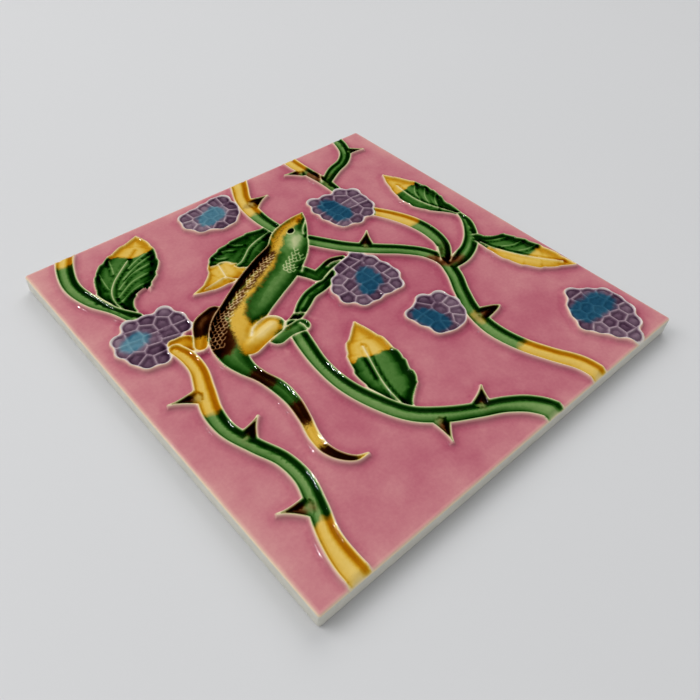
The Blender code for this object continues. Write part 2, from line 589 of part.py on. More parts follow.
def face_plan(forms):
    """Points and edges of the face in plan: outline, rings of the rim, forms and ground."""
    points, edges, outline = [], [], []
    for inset in (0.0, 0.3 * ARRIS_RADIUS, ARRIS_RADIUS, RELIEF_RIM):
        ring = plan_outline(inset)
        first = len(points)
        points.extend(ring)
        edges.extend((first + i, first + (i + 1) % len(ring)) for i in range(len(ring)))
        outline = outline or list(range(len(ring)))
    taken = np.array(points[-len(outline):])
    for rank in range(len(forms) - 1, -1, -1):
        for line in forms[rank].lines():
            if not len(line):
                continue
            free = inset_of(line) > -STATION_STEP / 2 * UNIT
            for above in forms[rank + 1:]:
                free &= above.depth(line) < -WALL
            for run in runs_of(line, free, gaps_between(line, taken) > POINT_GAP):
                first = len(points)
                points.extend(run)
                edges.extend((first + i, first + i + 1) for i in range(len(run) - 1))
                taken = np.vstack((taken, run))
    steps = np.arange(-DRAWING_SIDE / 2 + GROUND_GRID / 2, DRAWING_SIDE / 2, GROUND_GRID)
    grid = np.array([(x, y) for x in steps for y in steps])
    points.extend(grid[gaps_between(grid, taken) > GROUND_GRID / 3])
    return points, edges, outline


def material(name, colour, roughness):
    """A plain glaze."""
    made = bpy.data.materials.new(name)
    made.use_nodes = True
    shader = made.node_tree.nodes["Principled BSDF"]
    shader.inputs["Base Color"].default_value = colour
    shader.inputs["Roughness"].default_value = roughness
    shader.inputs["Metallic"].default_value = 0.0
    return made


def add_object(name, bm):
    """A new object with the modelled mesh."""
    mesh = bpy.data.meshes.new(name)
    bm.to_mesh(mesh)
    bm.free()
    made = bpy.data.objects.new(name, mesh)
    bpy.context.scene.collection.objects.link(made)
    return made


def make_tile():
    """The body with its moulded face, sides and flat back."""
    forms = relief_forms()
    points, edges, outline = face_plan(forms)
    plan, _, faces, *_ = delaunay_2d_cdt([Vector(p) for p in points], edges, [outline], 0, 0.01)
    plan = np.clip(np.array([tuple(v) for v in plan]), -DRAWING_SIDE / 2, DRAWING_SIDE / 2)
    faces = np.array(faces)
    faces = faces[inset_of(plan[faces].mean(1)) > ON_OUTLINE]
    heights = body_height(plan) + rim_share(plan) * relief_height(forms, plan)
    bm = bmesh.new()
    verts = [bm.verts.new((x * UNIT, y * UNIT, z)) for (x, y), z in zip(plan, heights)]
    for face in faces:
        bm.faces.new([verts[i] for i in face])
    bmesh.ops.delete(bm, geom=[v for v in bm.verts if not v.link_faces], context="VERTS")
    rim = [edge for edge in bm.edges if edge.is_boundary]
    side = bmesh.ops.extrude_edge_only(bm, edges=rim)["geom"]
    for vert in (item for item in side if isinstance(item, bmesh.types.BMVert)):
        vert.co.z = 0.0
    base = [item for item in side if isinstance(item, bmesh.types.BMEdge) and item.is_boundary]
    bmesh.ops.contextual_create(bm, geom=base)
    bmesh.ops.recalc_face_normals(bm, faces=bm.faces)
    return add_object("tile", bm)


def make_key_cutter():
    """Long shallow grooves with sloping sides, on both sides of a flat land."""
    bm = bmesh.new()
    length = TILE_SIDE - 2 * KEY_RIM
    pitch = KEY_WIDTH + KEY_LAND
    for number in range(int((length + KEY_LAND) / 2 / pitch)):
        for side in (1, -1):
            middle = side * (number + 0.5) * pitch
            for vert in bmesh.ops.create_cube(bm, size=1.0)["verts"]:
                upper = vert.co.z > 0
                inset = KEY_SLOPE if upper else -KEY_SLOPE
                vert.co.x *= length - 2 * inset
                vert.co.y = vert.co.y * (KEY_WIDTH - 2 * inset) + middle
                vert.co.z = KEY_DEPTH if upper else -KEY_DEPTH
    cutter = add_object("key_cutter", bm)
    cutter.hide_render = True
    cutter.display_type = "WIRE"
    return cutter


def main():
    for old in list(bpy.data.objects):
        bpy.data.objects.remove(old, do_unlink=True)
    tile = make_tile()
    tile.data.materials.append(material("glazed_earthenware", GLAZE_COLOUR, GLAZE_ROUGHNESS))
    cut = tile.modifiers.new("keying_grooves", "BOOLEAN")
    cut.operation = "DIFFERENCE"
    cut.solver = "EXACT"
    cut.object = make_key_cutter()


main()
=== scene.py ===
"""Looks of a square relief tile: a lizard on bramble stems, under majolica glazes.

The picture is drawn in millimetres from the tile's centre, X along its bottom edge and Y
towards its top, on a tile of DRAWING_SIDE. It is turned into metres when the mesh is made.
"""
import itertools
import math

import bpy
import numpy as np
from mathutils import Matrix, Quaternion, Vector
from mathutils.geometry import delaunay_2d_cdt


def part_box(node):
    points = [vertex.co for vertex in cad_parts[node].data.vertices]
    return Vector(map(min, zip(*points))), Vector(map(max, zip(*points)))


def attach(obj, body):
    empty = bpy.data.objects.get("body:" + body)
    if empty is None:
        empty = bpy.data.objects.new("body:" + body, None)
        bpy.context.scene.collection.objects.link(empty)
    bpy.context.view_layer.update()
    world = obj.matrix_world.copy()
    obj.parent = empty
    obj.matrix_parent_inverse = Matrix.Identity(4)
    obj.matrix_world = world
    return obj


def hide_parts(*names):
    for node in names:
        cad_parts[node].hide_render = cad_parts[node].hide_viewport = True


bl_info = {
    "name": "Relief Tile",
    "version": (1, 0, 0),
    "blender": (4, 5, 0),
    "location": "3D View > Sidebar > Relief Tile",
    "description": "Presses and glazes a relief tile, and sets it on a pale floor",
    "category": "Object",
}

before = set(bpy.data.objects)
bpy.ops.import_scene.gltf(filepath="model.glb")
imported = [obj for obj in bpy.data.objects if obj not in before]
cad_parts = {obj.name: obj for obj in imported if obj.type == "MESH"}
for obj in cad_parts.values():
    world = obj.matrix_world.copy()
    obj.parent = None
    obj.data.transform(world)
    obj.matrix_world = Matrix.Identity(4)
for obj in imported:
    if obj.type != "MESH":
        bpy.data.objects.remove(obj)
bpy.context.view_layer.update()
TILE_LOW, TILE_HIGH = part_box("tile")
TILE_SIDE = TILE_HIGH.x - TILE_LOW.x

DRAWING_SIDE = 152.4
UNIT = TILE_SIDE / DRAWING_SIDE
HALF_SIDE = DRAWING_SIDE / 2
# The relief stays this far below the top of the CAD tile
TOP_CLEARANCE = 0.01
TOP_LIMIT = TILE_HIGH.z / UNIT - TOP_CLEARANCE

# Heights of the relief above the ground of the face, and widths in plan
STEM_POOL = 0.6
STEM_CROWN = 1.2
STEM_CROWN_WIDTH = 1.6
LEAF_POOL = 0.5
LEAF_CROWN = 1.0
LEAF_CROWN_WIDTH = 3.0
BERRY_POOL = 0.6
BERRY_CROWN = 1.2
BERRY_CROWN_WIDTH = 1.2
LIZARD_POOL = 0.6
LIZARD_CROWN = 2.0
LIZARD_CROWN_WIDTH = 6.0
VEIN_TOP = 1.15
RIB_TOP = 1.3
RIB_HALF_WIDTH = 0.5
VEIN_HALF_WIDTH = 0.4
PARTING_HALF_WIDTH = 0.7
SCALE_HALF_WIDTH = 0.2
SCALE_RISE = 0.1
JAW_RISE = 0.1
CREASE_RISE = -0.12
# The relief sinks away towards the arris over this distance
RELIEF_RIM = 2.2

# Glaze thickness at distances in from a form's edge: 1 is the ground's own
FILM_RISE = ((0.0, 0.07), (0.3, 0.4), (0.7, 2.2))
FILM_STEM = ((1.1, 2.7), (1.8, 1.2), (2.6, 0.58), (3.4, 0.48))
FILM_LEAF = ((1.3, 2.6), (2.4, 1.4), (4.0, 0.88), (7.0, 0.8))
FILM_LIZARD = ((1.3, 1.6), (2.6, 1.1), (4.5, 0.78), (7.0, 0.75))
FILM_BERRY = ((0.3, 1.5), (0.9, 1.0))
FILM_CELL = ((0.0, 0.4), (0.35, 0.7), (0.8, 1.2), (1.6, 0.95), (2.6, 0.8))
FILM_OUTSIDE = ((-3.0, 1.0), (-1.6, 1.25), (-1.0, 1.2), (-0.5, 0.95), (-0.25, 0.4), (0.0, 0.07))
FILM_RIM = ((0.0, 0.0), (0.15, 0.1), (0.5, 0.5), (1.2, 0.85), (6.0, 1.0))
# Glaze thickness beside a line, at distances in its own half widths
FILM_LINE = ((0.0, 0.05), (0.5, 0.3), (1.0, 0.9), (1.8, 1.5), (3.5, 1.0))
# Thick glaze on the right of midribs and the jaw: partly pooled glaze, partly painted shade
FILM_RIB_PAINTED_SHADE = ((0.0, 0.1), (1.0, 1.0), (1.6, 3.0), (2.6, 2.4), (3.8, 1.0))
FILM_VEIN = ((0.0, 0.5), (1.0, 0.95), (2.0, 1.0))
# Thick glaze on the right of veins: partly pooled glaze, partly painted shade
FILM_VEIN_PAINTED_SHADE = ((0.0, 0.4), (1.0, 1.0), (1.6, 2.8), (3.0, 1.6), (4.5, 1.0))
FILM_CREASE = ((0.0, 2.6), (1.0, 1.9), (2.5, 1.0))
FILM_SCALE = ((0.0, 0.2), (0.6, 0.7), (1.0, 1.0))
# Strength of the film mark that thins the yellow at a leaf's tip
TIP_FILM = -0.35
# Pools are wider on this side of each form, away from the light: pooled glaze, widened as painted shade
SHADE_SIDE_DIRECTION = (1.0, 0.1)
SHADE_SIDE_STEP = 0.3
SHADE_SIDE_WIDENING = {"stem": 0.8, "leaf": 0.6, "berry": 0.0, "lizard": 0.15}
SHADE_SIDE_REACH = 1.4
# The slope paints a sheen: the ground glaze is thinner and paler towards the top left, near the light.
# Ground glaze thickens by these shares towards the bottom right corner and towards the middle.
# The dish changes nothing where the distance from the middle, squared, is the level's share of
# the half side, squared
GROUND_PAINTED_SHEEN = 0.08
GROUND_DISH = 0.1
GROUND_DISH_LEVEL = 0.6
# Soft waves of the ground and of its glaze: size of a wave, share and seed of its random table
GROUND_WAVES = ((13.0, 1.0, 1), (5.0, 0.4, 2))
FILM_WAVES = ((16.0, 0.12, 3), (4.0, 0.06, 4))
WAVE_TABLE = 256
WAVE_START = 1000.0
# In a teal patch the cells sink into the flooded glaze
PATCH_FILM = 1.25
PATCH_FILM_SHARE = 0.75
PATCH_RELIEF_SHARE = 0.4

# Spacing of the modelled points
CREST_STEP = 0.45
LINE_STEP = 0.55
LINE_GAP = 0.24
LINE_STRAY = 0.12
CURVE_STEP = 0.6
# Lines of points beside a form's edge, as distances outwards of it
EDGE_OFFSETS = (0.28, -0.28, 0.9, 0.58, -0.55, -0.85, -1.2, -1.7)
# Rings of points round the face, as shares of the arris and of the rim that the relief sinks to
ARRIS_RINGS = (0.04, 0.17, 0.38, 0.66, 1.0)
RIM_RINGS = (0.6, 1.0)
RING_STEP = 0.8
RING_GAP = 0.02
CORNER_POINTS = 9
# A form's lines end this far short of a form laid over it, and this share of the arris inside it
COVERED_GAP = 0.15
ARRIS_GAP_SHARE = 0.1
# A form is looked for this far round its box, for lines that it covers and for other points
COVER_MARGIN = 1.0
SEARCH_MARGIN = 4.0
# Points between the lines: their spacing on a form and on the lizard, and the share of it kept clear
FORM_FILL = 0.7
LIZARD_FILL = 0.42
FILL_GAP = 0.7
# Where they start: in from a form's edge, out from it, and past the arris as a share of the spacing
FORM_FILL_DEPTH = 0.3
GROUND_FILL_START = 0.9
ARRIS_FILL_SHARE = 1 / 3
# Spacing of the ground's points, and how far from the nearest form they are laid
GROUND_FILLS = ((1.0, 3.0), (1.6, 2 * DRAWING_SIDE))
# Points nearer to each other than this are one point
SAME_PLACE = 0.004
# Faces that lie on the outline to within this have no area and are left out
ON_OUTLINE = 1e-5
# Points down to this far below the arris are glazed
GLAZE_END = 0.01
# Faces whose middle is nearer to the outline than this, or further below the arris, are bare
SIDE_INSET = 0.012
SIDE_DROP = 0.3

# A band follows stations of x, y and half width, or x, y, left and right half widths
STEM_UPPER_LEFT = ((-59.8, 78.5, 3.0), (-64.3, 70.0, 3.0), (-67.0, 59.0, 2.8), (-65.3, 49.0, 2.6),
                   (-61.8, 40.5, 1.7), (-58.4, 33.4, 2.5))
STEM_UPPER_MIDDLE = ((13.4, 78.5, 3.5), (10.2, 72.0, 3.3), (6.5, 65.0, 3.1), (4.6, 57.0, 3.1),
                     (4.1, 50.0, 2.9), (4.7, 42.0, 2.7))
STEM_UPPER_RIGHT = ((37.5, 78.5, 2.8), (37.2, 70.0, 2.9), (38.0, 62.0, 2.4), (38.8, 54.0, 2.4),
                    (38.4, 46.2, 2.1))
STEM_TOP_RIGHT = ((64.2, 78.5, 2.4), (62.5, 71.0, 2.5), (59.6, 65.0, 2.4), (54.3, 60.6, 2.4),
                  (47.5, 58.2, 2.6), (40.0, 54.0, 2.2))
STEM_MAIN = ((9.6, 29.5, 2.9), (18.3, 17.3, 2.9), (25.1, 10.5, 2.9), (32.2, 4.0, 2.75),
             (37.4, -2.8, 2.7), (38.8, -9.6, 2.7), (36.8, -15.7, 2.8), (31.6, -24.2, 2.8),
             (27.4, -32.5, 2.9), (25.6, -42.0, 3.1), (27.2, -52.0, 3.0), (31.2, -61.5, 3.0),
             (35.2, -69.5, 3.2), (36.1, -79.0, 3.3))
STEM_TO_BERRY = ((40.0, 27.5, 2.5), (43.8, 20.8, 2.9), (46.7, 13.0, 3.2), (47.4, 5.0, 3.1),
                 (45.6, -2.6, 2.7), (40.5, -8.5, 2.4))
STEM_TO_LEAF = ((38.5, -12.3, 2.6), (45.0, -11.9, 3.1), (51.0, -10.2, 2.9), (56.0, -7.2, 2.7),
                (60.3, -3.0, 2.4), (63.3, 1.5, 1.9), (64.4, 5.5, 1.0))
STEM_LEFT = ((-56.2, 13.9, 2.2), (-55.2, 9.5, 2.6), (-55.4, 3.5, 2.7), (-58.5, -5.0, 3.0),
             (-61.5, -13.5, 3.0), (-62.0, -20.0, 2.75), (-59.2, -30.0, 2.6), (-56.1, -38.5, 2.55),
             (-55.8, -46.0, 2.65), (-58.4, -54.5, 2.85), (-61.6, -63.0, 3.0), (-62.9, -71.0, 3.5),
             (-62.8, -79.0, 3.6))
STEM_LOWER = ((-22.0, -1.0, 2.8), (-24.2, -9.0, 2.9), (-26.2, -19.0, 2.6), (-26.3, -29.0, 2.7),
              (-23.7, -39.5, 2.9), (-18.5, -50.0, 2.9), (-12.3, -55.5, 3.0), (-3.5, -60.8, 2.8),
              (4.5, -64.8, 3.0), (10.5, -69.7, 3.4), (13.4, -74.5, 3.7), (14.0, -79.0, 3.8))
STEM_UNDERFOOT = ((-26.0, -0.2, 1.5), (-18.0, 1.8, 1.8), (-13.0, 4.7, 2.4), (-8.5, 6.9, 2.3),
                  (-3.5, 7.6, 2.4), (1.0, 8.6, 2.0), (5.0, 11.0, 1.0))

# Thorns: middle of the base, half width there, tip, and how hollow the taper is
THORN_UPPER_MIDDLE = ((7.2, 60.2), 3.8, (15.4, 61.0), 1.6)
THORN_UPPER_RIGHT = ((35.6, 65.0), 2.7, (29.4, 67.6), 1.4)
THORN_TOP_RIGHT = ((62.0, 65.2), 2.4, (67.8, 62.6), 1.4)
THORN_MAIN_UPPER = ((23.6, 14.2), 3.2, (29.8, 20.4), 1.4)
THORN_MAIN_HOOK = ((27.6, -35.4), 3.2, (36.2, -36.6), 0.7)
THORN_LEFT_UPPER = ((-61.2, -6.0), 3.2, (-69.6, -3.2), 1.6)
THORN_LEFT_MIDDLE = ((-59.2, -26.4), 3.2, (-52.4, -22.2), 1.6)
THORN_LEFT_LOWER = ((-59.8, -53.6), 3.6, (-67.6, -50.0), 1.6)
THORN_LOWER_LEFT = ((-14.0, -56.4), 3.0, (-17.0, -63.4), 1.4)
THORN_LOWER_RIGHT = ((-0.8, -60.4), 3.3, (4.6, -55.3), 1.4)
THORN_PLACES = (0.0, 0.3, 0.6, 0.85, 1.0)
THORN_TIP_WIDTH = 0.2

# Leaves, from the stalk to the tip along the midrib
LEAF_UPPER_LEFT = ((-58.8, 37.0, 0.8, 2.6), (-59.4, 42.5, 1.6, 6.2), (-57.5, 49.5, 5.4, 11.0),
                   (-52.8, 54.3, 8.0, 12.0), (-46.5, 59.5, 7.7, 11.0), (-41.5, 64.5, 5.0, 7.6),
                   (-38.8, 67.6, 2.3, 4.4), (-37.0, 70.0, 0.3, 0.3))
LEAF_MIDDLE = ((1.8, 43.0, 2.0, 2.6), (-5.8, 40.6, 6.0, 6.6), (-13.2, 37.1, 6.5, 9.5),
               (-19.0, 34.6, 6.3, 9.8), (-26.0, 31.9, 3.9, 6.7), (-32.0, 31.2, 2.4, 2.4),
               (-37.8, 31.1, 0.3, 0.3))
LEAF_RIGHT = ((64.6, 4.6, 0.9, 0.9), (63.2, 9.0, 1.5, 3.2), (60.4, 14.0, 2.6, 7.4),
              (58.6, 20.5, 4.4, 9.7), (58.1, 27.5, 4.2, 9.8), (58.8, 34.5, 2.7, 7.2),
              (59.6, 39.0, 1.7, 3.6), (60.2, 42.8, 0.3, 0.3))
LEAF_LOWER_RIGHT = ((57.9, -9.0, 3.0, 1.8), (57.9, -13.0, 8.5, 1.9), (59.8, -20.0, 10.2, 3.8),
                    (63.4, -26.5, 9.8, 5.1), (68.0, -32.5, 6.6, 4.4), (71.0, -36.5, 3.4, 2.3),
                    (73.7, -40.2, 0.3, 0.3))
LEAF_LOWER = ((-18.3, -47.5, 0.8, 2.2), (-18.1, -41.0, 2.4, 9.6), (-16.5, -33.5, 5.4, 10.6),
              (-13.9, -26.5, 5.9, 10.4), (-10.3, -20.0, 5.0, 7.1), (-8.3, -16.0, 2.4, 3.9),
              (-6.2, -12.0, 0.3, 0.3))
TOOTH_PITCH = 6.0
TOOTH_LEAD = 7.0
TOOTH_HEIGHT = 0.7
TOOTH_RISE = 0.8
TOOTHED_WIDTH = 5.0
# Midribs and veins, drawn so that the glaze pools on their right, partly as painted shade
RIB_UPPER_LEFT = ((-59.6, 40.0), (-59.6, 45.0), (-58.4, 48.6), (-55.6, 52.4), (-51.0, 56.3),
                  (-46.0, 60.0))
VEINS_UPPER_LEFT = (((-58.0, 43.0), (-51.0, 46.0), (-45.0, 46.6)),
                    ((-57.6, 45.4), (-50.5, 49.4), (-43.6, 50.4)),
                    ((-55.6, 48.8), (-48.5, 53.0), (-41.0, 54.2)),
                    ((-52.0, 52.4), (-45.5, 55.8), (-38.8, 57.6)),
                    ((-48.0, 56.4), (-42.5, 58.8), (-38.2, 60.0)),
                    ((-56.9, 59.8), (-57.8, 55.0), (-58.2, 51.0)),
                    ((-51.0, 64.2), (-51.9, 60.6), (-53.2, 56.8)))
CREASES_UPPER_LEFT = (((-46.0, 60.0), (-41.0, 63.6)),)
RIB_MIDDLE = ((-18.4, 34.3), (-16.0, 35.0), (-13.2, 36.8), (-9.8, 39.2), (-6.5, 40.6), (-2.5, 41.5),
              (2.0, 42.4))
VEINS_MIDDLE = (((-13.6, 45.4), (-12.2, 43.6), (-10.2, 42.2)),
                ((-18.2, 43.8), (-16.6, 43.2), (-14.8, 42.0)),
                ((-22.0, 42.8), (-21.2, 41.2), (-19.2, 40.2)))
FOLDS_MIDDLE = (((-25.8, 39.3), (-24.0, 38.8), (-22.5, 39.0), (-20.5, 38.3), (-19.7, 37.5),
                 (-19.3, 36.0), (-18.0, 35.3)),
                ((-19.3, 34.5), (-19.0, 33.3), (-17.5, 32.0), (-16.0, 31.0)),
                ((-23.2, 38.8), (-24.0, 35.5), (-25.0, 31.5)),
                ((-33.5, 31.2), (-29.0, 31.5), (-25.0, 31.5), (-23.5, 29.5), (-22.5, 28.5)))
RIB_RIGHT = ((64.2, 5.5), (62.8, 9.5), (60.8, 14.0), (59.2, 18.5), (58.3, 23.5), (58.6, 29.5),
             (59.2, 34.0))
VEINS_RIGHT = (((61.0, 13.5), (64.2, 18.2), (67.2, 20.6)), ((60.0, 16.8), (63.0, 22.5), (66.8, 26.0)),
               ((59.0, 20.5), (61.6, 26.5), (65.6, 30.5)))
RIB_LOWER_RIGHT = ((71.6, -36.4), (67.0, -30.8), (63.2, -25.4), (60.2, -20.0), (57.8, -14.5),
                   (57.2, -10.5))
VEINS_LOWER_RIGHT = (((58.6, -10.6), (62.8, -13.2), (66.6, -14.6)),
                     ((61.4, -17.0), (65.5, -19.2), (69.4, -19.6)),
                     ((64.4, -22.6), (67.8, -24.0), (71.4, -24.4)))
RIB_LOWER = ((-18.4, -46.5), (-17.8, -40.0), (-16.6, -35.0), (-14.8, -30.0), (-13.2, -26.0),
             (-11.5, -21.5))
CREASES_LOWER = (((-17.2, -33.5), (-15.8, -29.5), (-14.6, -25.5)),)

# Berries: rows of drupelets, each from one end to the other with a count
BERRY_LEFT = ((-61.8, 31.2, -50.6, 30.2, 3), (-67.8, 27.4, -48.8, 25.8, 5),
              (-69.0, 22.6, -49.2, 21.4, 5), (-67.0, 18.0, -54.5, 17.6, 3),
              (-65.2, 14.2, -60.8, 13.4, 2))
BERRY_TOP = ((-17.4, 68.0, -12.6, 68.6, 2), (-8.2, 69.6, 1.0, 69.0, 3), (-17.8, 63.4, 0.4, 64.0, 5),
             (-16.4, 59.8, -2.2, 60.2, 4), (-9.6, 56.8, -4.6, 57.0, 2))
BERRY_RIGHT = ((26.2, 45.6, 37.8, 44.6, 3), (24.2, 41.0, 42.0, 41.0, 4),
               (24.0, 36.6, 42.2, 36.4, 4), (25.6, 32.6, 41.2, 32.2, 4),
               (26.8, 29.0, 32.0, 27.5, 2), (38.2, 28.5, 38.2, 28.5, 1))
BERRY_MIDDLE = ((8.0, 10.4, 17.2, 12.0, 3), (3.4, 6.4, 18.6, 7.4, 4), (-0.1, 2.4, 20.0, 2.4, 5),
                (0.1, -2.2, 19.8, -2.6, 5), (3.2, -6.2, 18.0, -6.8, 4))
BERRY_SMALL = ((10.5, -22.0, 15.0, -21.0, 2), (19.2, -19.4, 23.9, -20.4, 2),
               (11.2, -26.4, 24.6, -25.4, 4), (13.0, -30.6, 23.6, -29.8, 3),
               (16.0, -32.2, 20.4, -32.4, 2))
BERRY_LOWER_RIGHT = ((59.6, -48.9, 59.6, -48.9, 1), (55.0, -52.4, 64.4, -52.0, 3),
                     (52.2, -56.4, 67.8, -55.8, 4), (50.9, -60.2, 68.8, -59.8, 5),
                     (52.6, -64.4, 67.4, -64.6, 4), (55.6, -68.8, 64.0, -69.0, 3),
                     (59.4, -73.2, 59.4, -73.2, 1))
DRUPELET_RADIUS = 2.8
# The outline round a berry's drupelets: how widely they melt together, and what it draws back by
DRUPELET_BLEND = 1.5
DRUPELET_LOSS = 0.65
DRUPELET_STRAY = 0.6
DRUPELET_TONES = (0.8, 1.2)
ROW_HALF_WIDTH = 2.45

# The lizard, from nose to tail, and its legs
LIZARD_BODY = ((18.2, 43.6, 0.4), (15.4, 41.8, 2.5), (11.2, 39.2, 4.7), (6.0, 35.6, 6.6),
               (0.5, 30.2, 7.4), (-8.5, 25.2, 8.6), (-19.4, 20.2, 8.5), (-28.9, 15.2, 8.0),
               (-37.2, 9.6, 8.0), (-42.0, 4.6, 6.7), (-44.3, -0.6, 4.5), (-44.3, -5.5, 3.2),
               (-43.0, -11.0, 2.3), (-41.5, -17.5, 2.6), (-41.5, -24.5, 2.3), (-43.0, -31.5, 1.9),
               (-45.0, -38.0, 1.8), (-45.3, -43.0, 1.65), (-43.6, -47.6, 1.35),
               (-40.8, -50.6, 0.9), (-37.4, -51.4, 0.25))
LIZARD_THIGH = ((-38.0, 1.6, 4.6), (-32.0, 2.9, 4.3), (-27.0, 3.6, 4.2))
LIZARD_UPPER_ARM = ((-4.5, 20.0, 3.0), (-2.2, 15.5, 2.6), (-0.9, 12.2, 2.4))
LIZARD_FOREARM = ((-1.1, 12.3, 2.4), (3.6, 13.8, 2.2), (8.6, 14.9, 2.1), (12.6, 14.6, 1.0))
LIZARD_SHIN = ((-29.0, -1.6, 3.3), (-24.0, -2.0, 2.3), (-20.0, -2.4, 2.8))
LIZARD_FAR_THIGH = ((-38.0, 19.6, 3.2), (-43.4, 18.0, 3.1), (-46.8, 13.8, 2.7), (-49.4, 10.4, 2.2))
LIZARD_FAR_SHIN = ((-50.2, 10.6, 2.4), (-52.2, 14.2, 3.2), (-55.4, 15.8, 2.2))
EYE_PLACE = (7.4, 36.9)
EYE_TURN = math.radians(30.0)
EYE_HALF_LENGTH = 1.3
EYE_HALF_WIDTH = 0.85
# At distances from the eye's middle in its own radii: its relief, the ring that is bare of glaze,
# the thick glaze on it and the brown paint
EYE_RELIEF = ((1.2, 0.12), (2.2, 0.0))
EYE_RING = 1.45
EYE_RING_BARE = ((0.12, 0.94), (0.42, 0.0))
EYE_RING_ABOVE = 0.3
EYE_FILM = 4.0
EYE_FILM_REACH = 1.05
EYE_BROWN_REACH = 1.1
EYE_LINES = (0.0, 0.6, 1.0, EYE_RING, 2.0)
EYE_LINE_STEP = 0.25

# Short ridges where one limb, stem or toe parts from another
PARTINGS_STEM = (((43.2, -2.6), (38.6, -8.4)), ((46.0, -8.6), (40.6, -10.8)))
PARTINGS_TOP = (((41.0, 60.0), (38.0, 55.0)),)
PARTINGS_LIZARD = (((-35.0, 4.0), (-33.0, 6.0), (-29.0, 7.6), (-26.0, 7.7), (-24.0, 6.0), (-22.8, 3.0),
                    (-24.5, 1.0), (-27.0, -1.5)),
                   ((5.3, 14.3), (8.0, 14.8), (11.0, 14.0)), ((-3.2, 17.8), (-1.0, 19.6)))
PARTINGS_SHIN = (((-19.8, -5.2), (-19.4, -3.0), (-19.6, -1.0)),)
PARTINGS_FAR_SHIN = (((-55.0, 12.5), (-53.0, 10.0), (-51.0, 9.5)), ((-49.5, 12.0), (-48.5, 16.0)))
PARTINGS_UNDERFOOT = (((-18.5, 3.5), (-17.0, 2.6), (-15.5, 1.3)),)
# The glaze pools beneath the jaw, partly as painted shade, and lies dark in the mouth
JAW = ((11.0, 34.0), (12.0, 35.5), (14.0, 37.5), (16.3, 39.2))
MOUTH = ((15.0, 41.8), (14.2, 41.0), (13.3, 40.3))

# Nets of scales: distances from the nose, distances left of the middle line, and the share shown
SCALE_NETS = ((22.0, 33.0, 3.0, 6.2, 0.9), (28.0, 58.0, -5.4, -3.0, 0.75),
              (59.0, 73.0, -6.6, -2.4, 0.95))
SCALE_PITCH = 1.5
# A row's distance from the next and a scale's bulge, as shares of the pitch
SCALE_ROW_SHARE = 0.8
SCALE_BULGE_SHARE = 0.75
SCALE_STRAY = 0.08
SCALE_POINTS = 7
SCALE_SEED = 11

# Marks of the brush on a form: the glaze, its strength, a band and, on some, what its half widths
# gain, the left ones alone where its stations give both. A mark of film is thicker glaze, or
# thinner where its strength is below zero
MARKS_STEM_UPPER_LEFT = (("amber", 1.0, ((-59.0, 82.0, 4.5), (-63.0, 74.5, 4.5))),)
MARKS_STEM_UPPER_MIDDLE = (
    ("amber", 1.0, ((13.4, 80.0, 4.5), (10.2, 72.0, 4.5), (6.5, 65.0, 4.5), (4.9, 58.6, 4.5))),
    ("brown", 0.6, ((7.0, 59.4, 2.4), (4.4, 60.0, 1.6))))
MARKS_STEM_UPPER_RIGHT = (
    ("amber", 1.0, ((37.5, 82.0, 4.5), (37.2, 69.5, 4.5))),
    ("brown", 0.5, ((37.6, 63.6, 3.2), (38.2, 62.0, 3.2))),
    ("brown", 1.0, ((38.2, 58.6, 3.2), (37.8, 60.2, 3.2))),
    ("brown", 0.4, ((38.6, 51.0, 3.0), (38.6, 56.0, 3.0), (43.6, 56.6, 3.0))))
MARKS_STEM_MAIN = (
    ("amber", 1.0, ((39.0, 31.0, 4.5), (43.8, 20.8, 4.5), (46.2, 16.5, 4.5))),
    ("amber", 1.0, ((28.6, -56.6, 4.5), (31.2, -61.5, 4.5), (35.2, -69.5, 5.0), (36.1, -82.0, 5.0))),
    ("amber", 0.4, ((26.4, -35.0, 2.6), (26.0, -37.0, 2.6))),
    ("brown", 0.45, ((45.6, -4.0, 3.0), (41.0, -8.0, 3.0))),
    ("brown", 0.9, ((36.6, -5.4, 2.2), (38.6, -9.4, 2.6), (44.0, -11.8, 2.6))),
    ("brown", 0.5, ((27.6, -35.8, 2.0), (25.6, -36.2, 2.0))))
MARKS_STEM_LEFT = (
    ("amber", 1.0, ((-56.2, 16.0, 4.5), (-55.2, 9.5, 4.5), (-55.4, 3.5, 4.5), (-58.5, -5.0, 4.5),
                    (-60.3, -9.5, 4.5))),
    ("amber", 1.0, ((-60.2, -62.6, 4.5), (-61.6, -66.0, 4.5), (-62.9, -71.0, 5.0), (-62.8, -82.0, 5.0))))
MARKS_UNDERFOOT = (("brown", 0.9, ((-21.0, 2.0, 1.4), (-17.6, 1.4, 0.9))),)
MARKS_LEAF_UPPER_LEFT = (
    ("amber", 1.0, ((-53.0, 69.0, 14.0, 0.0), (-49.5, 66.0, 14.0, 0.0), (-43.0, 60.5, 14.0, 0.0),
                    (-36.0, 61.0, 14.0, 0.0), (-30.0, 62.0, 14.0, 0.0))),)
MARKS_LEAF_MIDDLE = (
    ("amber", 1.0, ((-27.5, 42.5, 0.0, 22.0), (-24.3, 39.2, 0.0, 22.0), (-21.0, 38.0, 0.0, 22.0),
                    (-19.2, 36.5, 0.0, 22.0), (-18.6, 35.4, 0.0, 22.0), (-19.3, 34.3, 0.0, 22.0),
                    (-19.1, 32.8, 0.0, 22.0), (-17.3, 31.3, 0.0, 22.0), (-14.0, 29.4, 0.0, 22.0))),
    ("film", 0.9, ((-17.0, 39.6, 0.7), (-12.0, 41.2, 0.8), (-6.0, 43.4, 0.6))),
    ("film", 0.9, ((-16.6, 36.4, 0.5), (-13.0, 38.6, 0.5), (-9.0, 41.0, 0.5), (-3.0, 42.6, 0.4))))
MARKS_LEAF_RIGHT = (
    ("amber", 1.0, ((50.0, 31.0, 16.0, 0.0), (58.0, 30.4, 16.0, 0.0), (66.0, 31.4, 16.0, 0.0))),)
